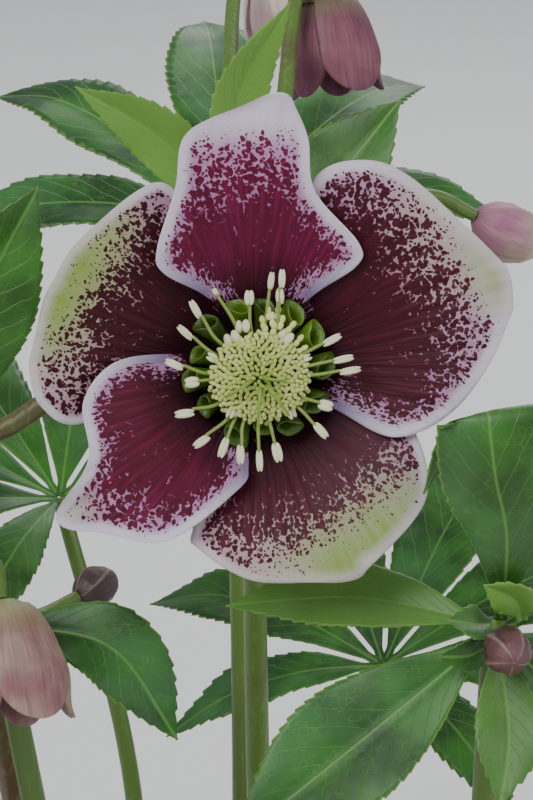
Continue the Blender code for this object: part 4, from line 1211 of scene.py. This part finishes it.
# How far a nectary leans outwards for how far it rises.
NECTARY_LEAN = (5.4, 2.9)
TRUMPET = [(0, 0), (0.10, 0), (0.12, 0.2), (0.17, 0.5), (0.22, 0.8), (0.245, 0.96), (0.24, 1.0), (0.2, 0.99),
           (0.165, 0.85), (0.12, 0.55), (0.0, 0.3)]
COLLAR = [(0, 2.4), (4.4, 2.4), (4.7, 3.0), (4.2, 3.6), (3.0, 3.7), (0, 3.7)]


def two_lips(radius, height, angle, part):
    """Widen the mouth sideways and cut it lower on one side."""
    dip = 0.16 * np.clip(np.cos(angle), 0, 1) * height
    return radius * (1 + 0.14 * np.cos(angle * 2) * height), height * (1 - dip)


nectary_form = form_object("nectary_form", [turned(TRUMPET, 18, axis=(0, 1, 0), shape=two_lips)])
draw = np.random.default_rng(5)
angle = np.arange(NECTARIES) / NECTARIES * math.tau + draw.uniform(-0.09, 0.09, NECTARIES)
ahead = unit(round_axis(angle, RIGHT, UP) * NECTARY_LEAN[0] + TOWARD * NECTARY_LEAN[1])
length = draw.uniform(6.4, 8.8, (NECTARIES, 1))
places = on_flower(NECTARY_RADIUS * np.cos(angle), NECTARY_RADIUS * np.sin(angle), NECTARY_LEVEL)
scatter("nectary_ring", places, ahead, np.broadcast_to(TOWARD, ahead.shape), length * NECTARY_SHAPE,
        draw.uniform(0.3, 1.0, NECTARIES), nectary_form, nectary_green, "nectaries")
collar = turned(COLLAR, 40, on_flower(0, 0, 0), TOWARD, marks=lambda angle, part: dict(tone=0.2))
mesh_piece("nectary_collar", [collar], nectary_green, "nectaries")

# %% [markdown]
# ## Nodding blooms
# Three younger blooms hang half open round the main one. Five petals overlap in three layers and draw in
# towards their tips. Each petal is a sheet wrapped round the bloom's own axis, which continues the end of
# its pedicel.

# %% Bloom finish
def bloom_finish(name, ground, veins, green):
    """Soft pink with darker lengthwise veins, greener at the base."""
    finish, in_mm = start_finish(name)
    along, = marks_of(finish, "along")
    streaks = noise(stretched(surface_of(finish), (1.0, 0.07, 1.0)), 1.3, 4.0)
    body = blend(band(noise(in_mm, 0.12, 3.0), 0.3, 0.7), ground, veins)
    body = blend(band(streaks, 0.48, 0.7) * 0.65, body, veins)
    body = blend(0.8 - along * 2.6, body, green)
    return end_finish(finish, body, streaks, 0.0003, roughness=0.5, depth_light=0.15,
                      depth_reach=(0.004, 0.002, 0.002))


mauve_petal = bloom_finish("mauve_petal", (0.24, 0.075, 0.115), (0.11, 0.022, 0.05), (0.12, 0.14, 0.04))
pale_petal = bloom_finish("pale_petal", (0.62, 0.50, 0.46), (0.48, 0.30, 0.33), (0.40, 0.44, 0.22))
left_petal = bloom_finish("left_petal", (0.34, 0.25, 0.19), (0.20, 0.07, 0.085), (0.24, 0.26, 0.10))
print("three bloom finishes")

# %% Petals wrapped round an axis
SEAT = 0.3
BLOOM_LAYERS = (0, 1, 0, 1, 2)
BLOOM_LAYER_STEP = 1.0
BLOOM_BASE_RADIUS = 2.2
PETAL_ROWS = 34
PETAL_COLUMNS = 25
PETAL_SPREAD = math.radians(47)
PETAL_THICK = 0.6


def pedicel_end(form):
    """Where a bloom or bud starts at the end of its pedicel, and the pedicel's direction there."""
    stem = STEMS[form["stem"]]
    path = smooth_path([on_view(stem["whorl"]), *on_view(stem["pedicels"][form["pedicel"]])], 40)
    axis = unit(path[-1] - path[-3])
    return path[-1] + axis * SEAT, axis


def bloom_petals(base, axis, length, widest, draw):
    """Five petals wrapped round the axis."""
    side, other, ahead = axes_of(axis)
    along = np.sin(np.linspace(0, math.pi / 2, PETAL_ROWS))[:, None]
    over = np.linspace(-1, 1, PETAL_COLUMNS)[None]
    swell = np.sin(math.pi * np.minimum(1, along * 1.15) / 2) ** 0.7
    radius = BLOOM_BASE_RADIUS + (widest - BLOOM_BASE_RADIUS) * swell
    radius = radius * (1 - 0.13 * np.clip((along - 0.6) / 0.4, 0, 1))
    rounded = np.sqrt(np.clip(1 - np.clip((along - 0.62) / 0.38, 0, 1) ** 2, 0.01, 1))
    spread = PETAL_SPREAD * rounded * (1 - 0.25 * along) * over
    crease = 0.35 * np.exp(-(over / 0.12) ** 2) * np.sin(math.pi * along)
    flare = 0.9 * np.clip((along - 0.8) / 0.2, 0, 1) ** 2
    thick = PETAL_THICK * (1 - 0.55 * np.abs(over) ** 6) / 2
    centre = base + ahead * (1.0 + (length - 1.0) * along)[..., None]
    surface = np.stack(np.broadcast_arrays(spread * widest, along * length), -1)
    parts = []
    for number, layer in enumerate(BLOOM_LAYERS):
        ripple = 0.25 * np.sin(along * 9 + draw.uniform(0, 6)) * np.abs(over) ** 3 * along
        wall = radius + BLOOM_LAYER_STEP * layer + crease + ripple + flare
        out = round_axis(math.tau * number / len(BLOOM_LAYERS) + spread, side, other)
        front, back = (centre + out * (wall + offset)[..., None] for offset in (thick, -thick))
        parts.append(sheet_part(front, back, surface, dict(along=along)))
    return parts


print("a bloom has", len(BLOOM_LAYERS), "petals")

# %% Nodding blooms
BLOOMS = {
    "mauve_bloom": dict(stem="back_stem", pedicel=0, length=18, radius=7.4, finish=mauve_petal),
    "pale_bloom": dict(stem="back_stem", pedicel=2, length=17, radius=7.4, finish=pale_petal),
    "left_bloom": dict(stem="left_stem", pedicel=0, length=19, radius=7.8, finish=left_petal),
}
BLOOM_CUP = [(0, 0), (1.9, 0), (3.0, 0.5), (4.0, 1.3), (4.5, 2.2), (0, 2.6)]
BLOOM_STAMENS = 34
BLOOM_FILAMENT_RADIUS = 0.2
BLOOM_ANTHER = (0.9, 1.5, 0.9)

for seed, (name, form) in enumerate(BLOOMS.items(), start=3):
    base, axis = pedicel_end(form)
    parts = bloom_petals(base, axis, form["length"], form["radius"], np.random.default_rng(seed))
    parts.append(turned(BLOOM_CUP, 24, base, axis, marks=lambda angle, part: dict(along=0.0)))
    mesh_piece(name + "_petals", parts, form["finish"], name)
    draw = np.random.default_rng(seed)
    side, other, ahead = axes_of(axis)
    number = np.arange(BLOOM_STAMENS)
    out = round_axis(number * GOLDEN_ANGLE, side, other)
    aside = out * (0.6 + 2.6 * np.sqrt(number / BLOOM_STAMENS))[:, None]
    tips = base + ahead * draw.uniform(6.0, 8.6, (BLOOM_STAMENS, 1)) + aside
    feet = base + ahead * 2.5 + aside * 0.5
    runs = [(np.array([foot, (foot + tip) / 2, tip]), BLOOM_FILAMENT_RADIUS) for foot, tip in zip(feet, tips)]
    bar_piece(name + "_filaments", runs, filament_green, name + "_stamens", 6)
    scatter(name + "_anthers", tips, unit(tips - feet), out, np.tile(BLOOM_ANTHER, (BLOOM_STAMENS, 1)),
            draw.uniform(0.4, 0.9, BLOOM_STAMENS), open_anther, anther_cream, name + "_stamens")

# %% [markdown]
# ## Buds
# A bud is five sepals wrapped over one another. Turned as one body, its radius falls in a small step five
# times round, and the steps twist as they climb, which gives each sepal an edge that lies over the next.

# %% Bud finish
BUD_SEAM = (0.40, 0.31, 0.25)


def bud_finish(name, ground, flush):
    """Two colours from base to tip, with pale seams and fine lengthwise streaks."""
    finish, in_mm = start_finish(name)
    rise, seam = marks_of(finish, "rise", "seam")
    streaks = noise(stretched(surface_of(finish), (1.0, 0.15, 1.0)), 1.6, 4.0)
    body = blend(band(rise + (noise(in_mm, 0.2, 2.0) - 0.5) * 0.8, 0.3, 0.9), ground, flush)
    body = blend(band(streaks, 0.45, 0.7) * 0.25, body, flush)
    return end_finish(finish, blend(seam * 0.5, body, BUD_SEAM), streaks, 0.0002, roughness=0.45)


bud_brown = bud_finish("bud_brown", (0.055, 0.028, 0.022), (0.13, 0.05, 0.055))
bud_pink = bud_finish("bud_pink", (0.34, 0.13, 0.21), (0.45, 0.36, 0.27))
bud_dark = bud_finish("bud_dark", (0.05, 0.028, 0.028), (0.11, 0.06, 0.055))
print("three bud finishes")

# %% Buds
BUDS = {
    "right_bud": dict(stem="right_stem", pedicel=0, length=9, radius=3.7, finish=bud_brown),
    "upper_bud": dict(stem="back_stem", pedicel=1, length=13, radius=5.0, finish=bud_pink),
    "lower_left_bud": dict(stem="left_stem", pedicel=1, length=8.5, radius=3.4, finish=bud_dark),
}
# Shares of the bud's length and of its radius.
BUD_OUTLINE = [(0, 0.3), (0.08, 0.55), (0.2, 0.8), (0.4, 1), (0.6, 0.97), (0.8, 0.74), (0.93, 0.42), (1, 0.1)]
BUD_RINGS = 30
BUD_SIDES = 100
BUD_SEPALS = 5
BUD_TWIST = 0.12


def bud_overlap(angle, part):
    """Where in its own sepal a place lies, 0 to 1, from its edge to under the next."""
    return (angle / math.tau * BUD_SEPALS + BUD_TWIST * part * BUD_SEPALS) % 1.0


def bud_wrap(radius, height, angle, part):
    """Draw each sepal in where it runs under the next."""
    under_next = np.interp(bud_overlap(angle, part), (0, 0.88, 1), (0, 1, 0))
    return radius * (1.03 - 0.15 * under_next * np.sin(math.pi * np.clip(part, 0.05, 0.97))), height


def bud_marks(angle, part):
    """A pale seam along each sepal's edge."""
    return dict(seam=np.clip(1 - np.abs(bud_overlap(angle, part) - 0.06) * 12, 0, 1))


for name, form in BUDS.items():
    rise = np.linspace(0, 1, BUD_RINGS)
    radii = form["radius"] * np.interp(rise, *zip(*BUD_OUTLINE))
    profile = [(0, 0), *zip(radii, rise * form["length"]), (0, form["length"] * 1.01)]
    body = turned(profile, BUD_SIDES, *pedicel_end(form), bud_wrap, bud_marks)
    mesh_piece(name + "_body", [body], form["finish"], name)

# %% [markdown]
# ## The pot and the compost
# The pot is plain terracotta, thrown with a thick rim. Both keep the shapes of the construction model.

# %% Pot and compost finishes
terracotta, in_mm = start_finish("terracotta")
grain = noise(in_mm, 1.4, 4.0)
body = blend(band(noise(in_mm, 0.05, 6.0), 0.35, 0.7), (0.36, 0.14, 0.066), (0.46, 0.20, 0.11))
body = blend(band(grain, 0.55, 0.8) * 0.4, body, (0.62, 0.36, 0.24))
end_finish(terracotta, body, grain, 0.0004, roughness=0.85)

compost, in_mm = start_finish("compost")
clouds = noise(in_mm, 0.5, 6.0)
body = blend(band(clouds, 0.3, 0.75), (0.012, 0.008, 0.006), (0.075, 0.045, 0.028))
end_finish(compost, body, clouds, 0.002, roughness=0.95)

for node, finish in (("pot", terracotta), ("compost", compost)):
    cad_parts[node].data.materials.clear()
    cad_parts[node].data.materials.append(finish)
print("pot and compost finished")

# %% [markdown]
# Compost isn't smooth. Crumbs of bark and peat are strewn over it with the same tree that sets the anthers.
# A crumb is an uneven lump of a few faces, and each is turned and sized at random from a fixed seed.

# %% Compost crumbs
CRUMBS = 900
COMPOST_EDGE = 60.5
# Shares of the compost's radius and its height there.
SOIL_LEVELS = ((0.0, 119.0), (0.47, 119.0), (0.75, 117.4), (1.0, 115.0))

lump = ball(6, 5, (0.5, 0.5, 0.36), (0, 0, 0))
lump["points"] *= np.random.default_rng(2).uniform(0.75, 1.2, (len(lump["points"]), 1))
draw = np.random.default_rng(21)
share = np.sqrt(draw.uniform(0, 1, CRUMBS))
turn = draw.uniform(0, math.tau, CRUMBS)
level = np.interp(share, *zip(*SOIL_LEVELS)) + draw.uniform(-0.3, 0.8, CRUMBS)
places = np.column_stack([np.cos(turn) * share * COMPOST_EDGE, np.sin(turn) * share * COMPOST_EDGE, level])
ahead, face = unit(draw.normal(0, 1, (2, CRUMBS, 3)))
size = draw.gamma(3.0, 0.75, (CRUMBS, 1)).clip(0.8, 5.5) * draw.uniform(0.6, 1.2, (CRUMBS, 3))
crumb = form_object("crumb_form", [lump])
scatter("compost_crumbs", places, ahead, face, size, draw.uniform(0, 1, CRUMBS), crumb, compost)

# %% [markdown]
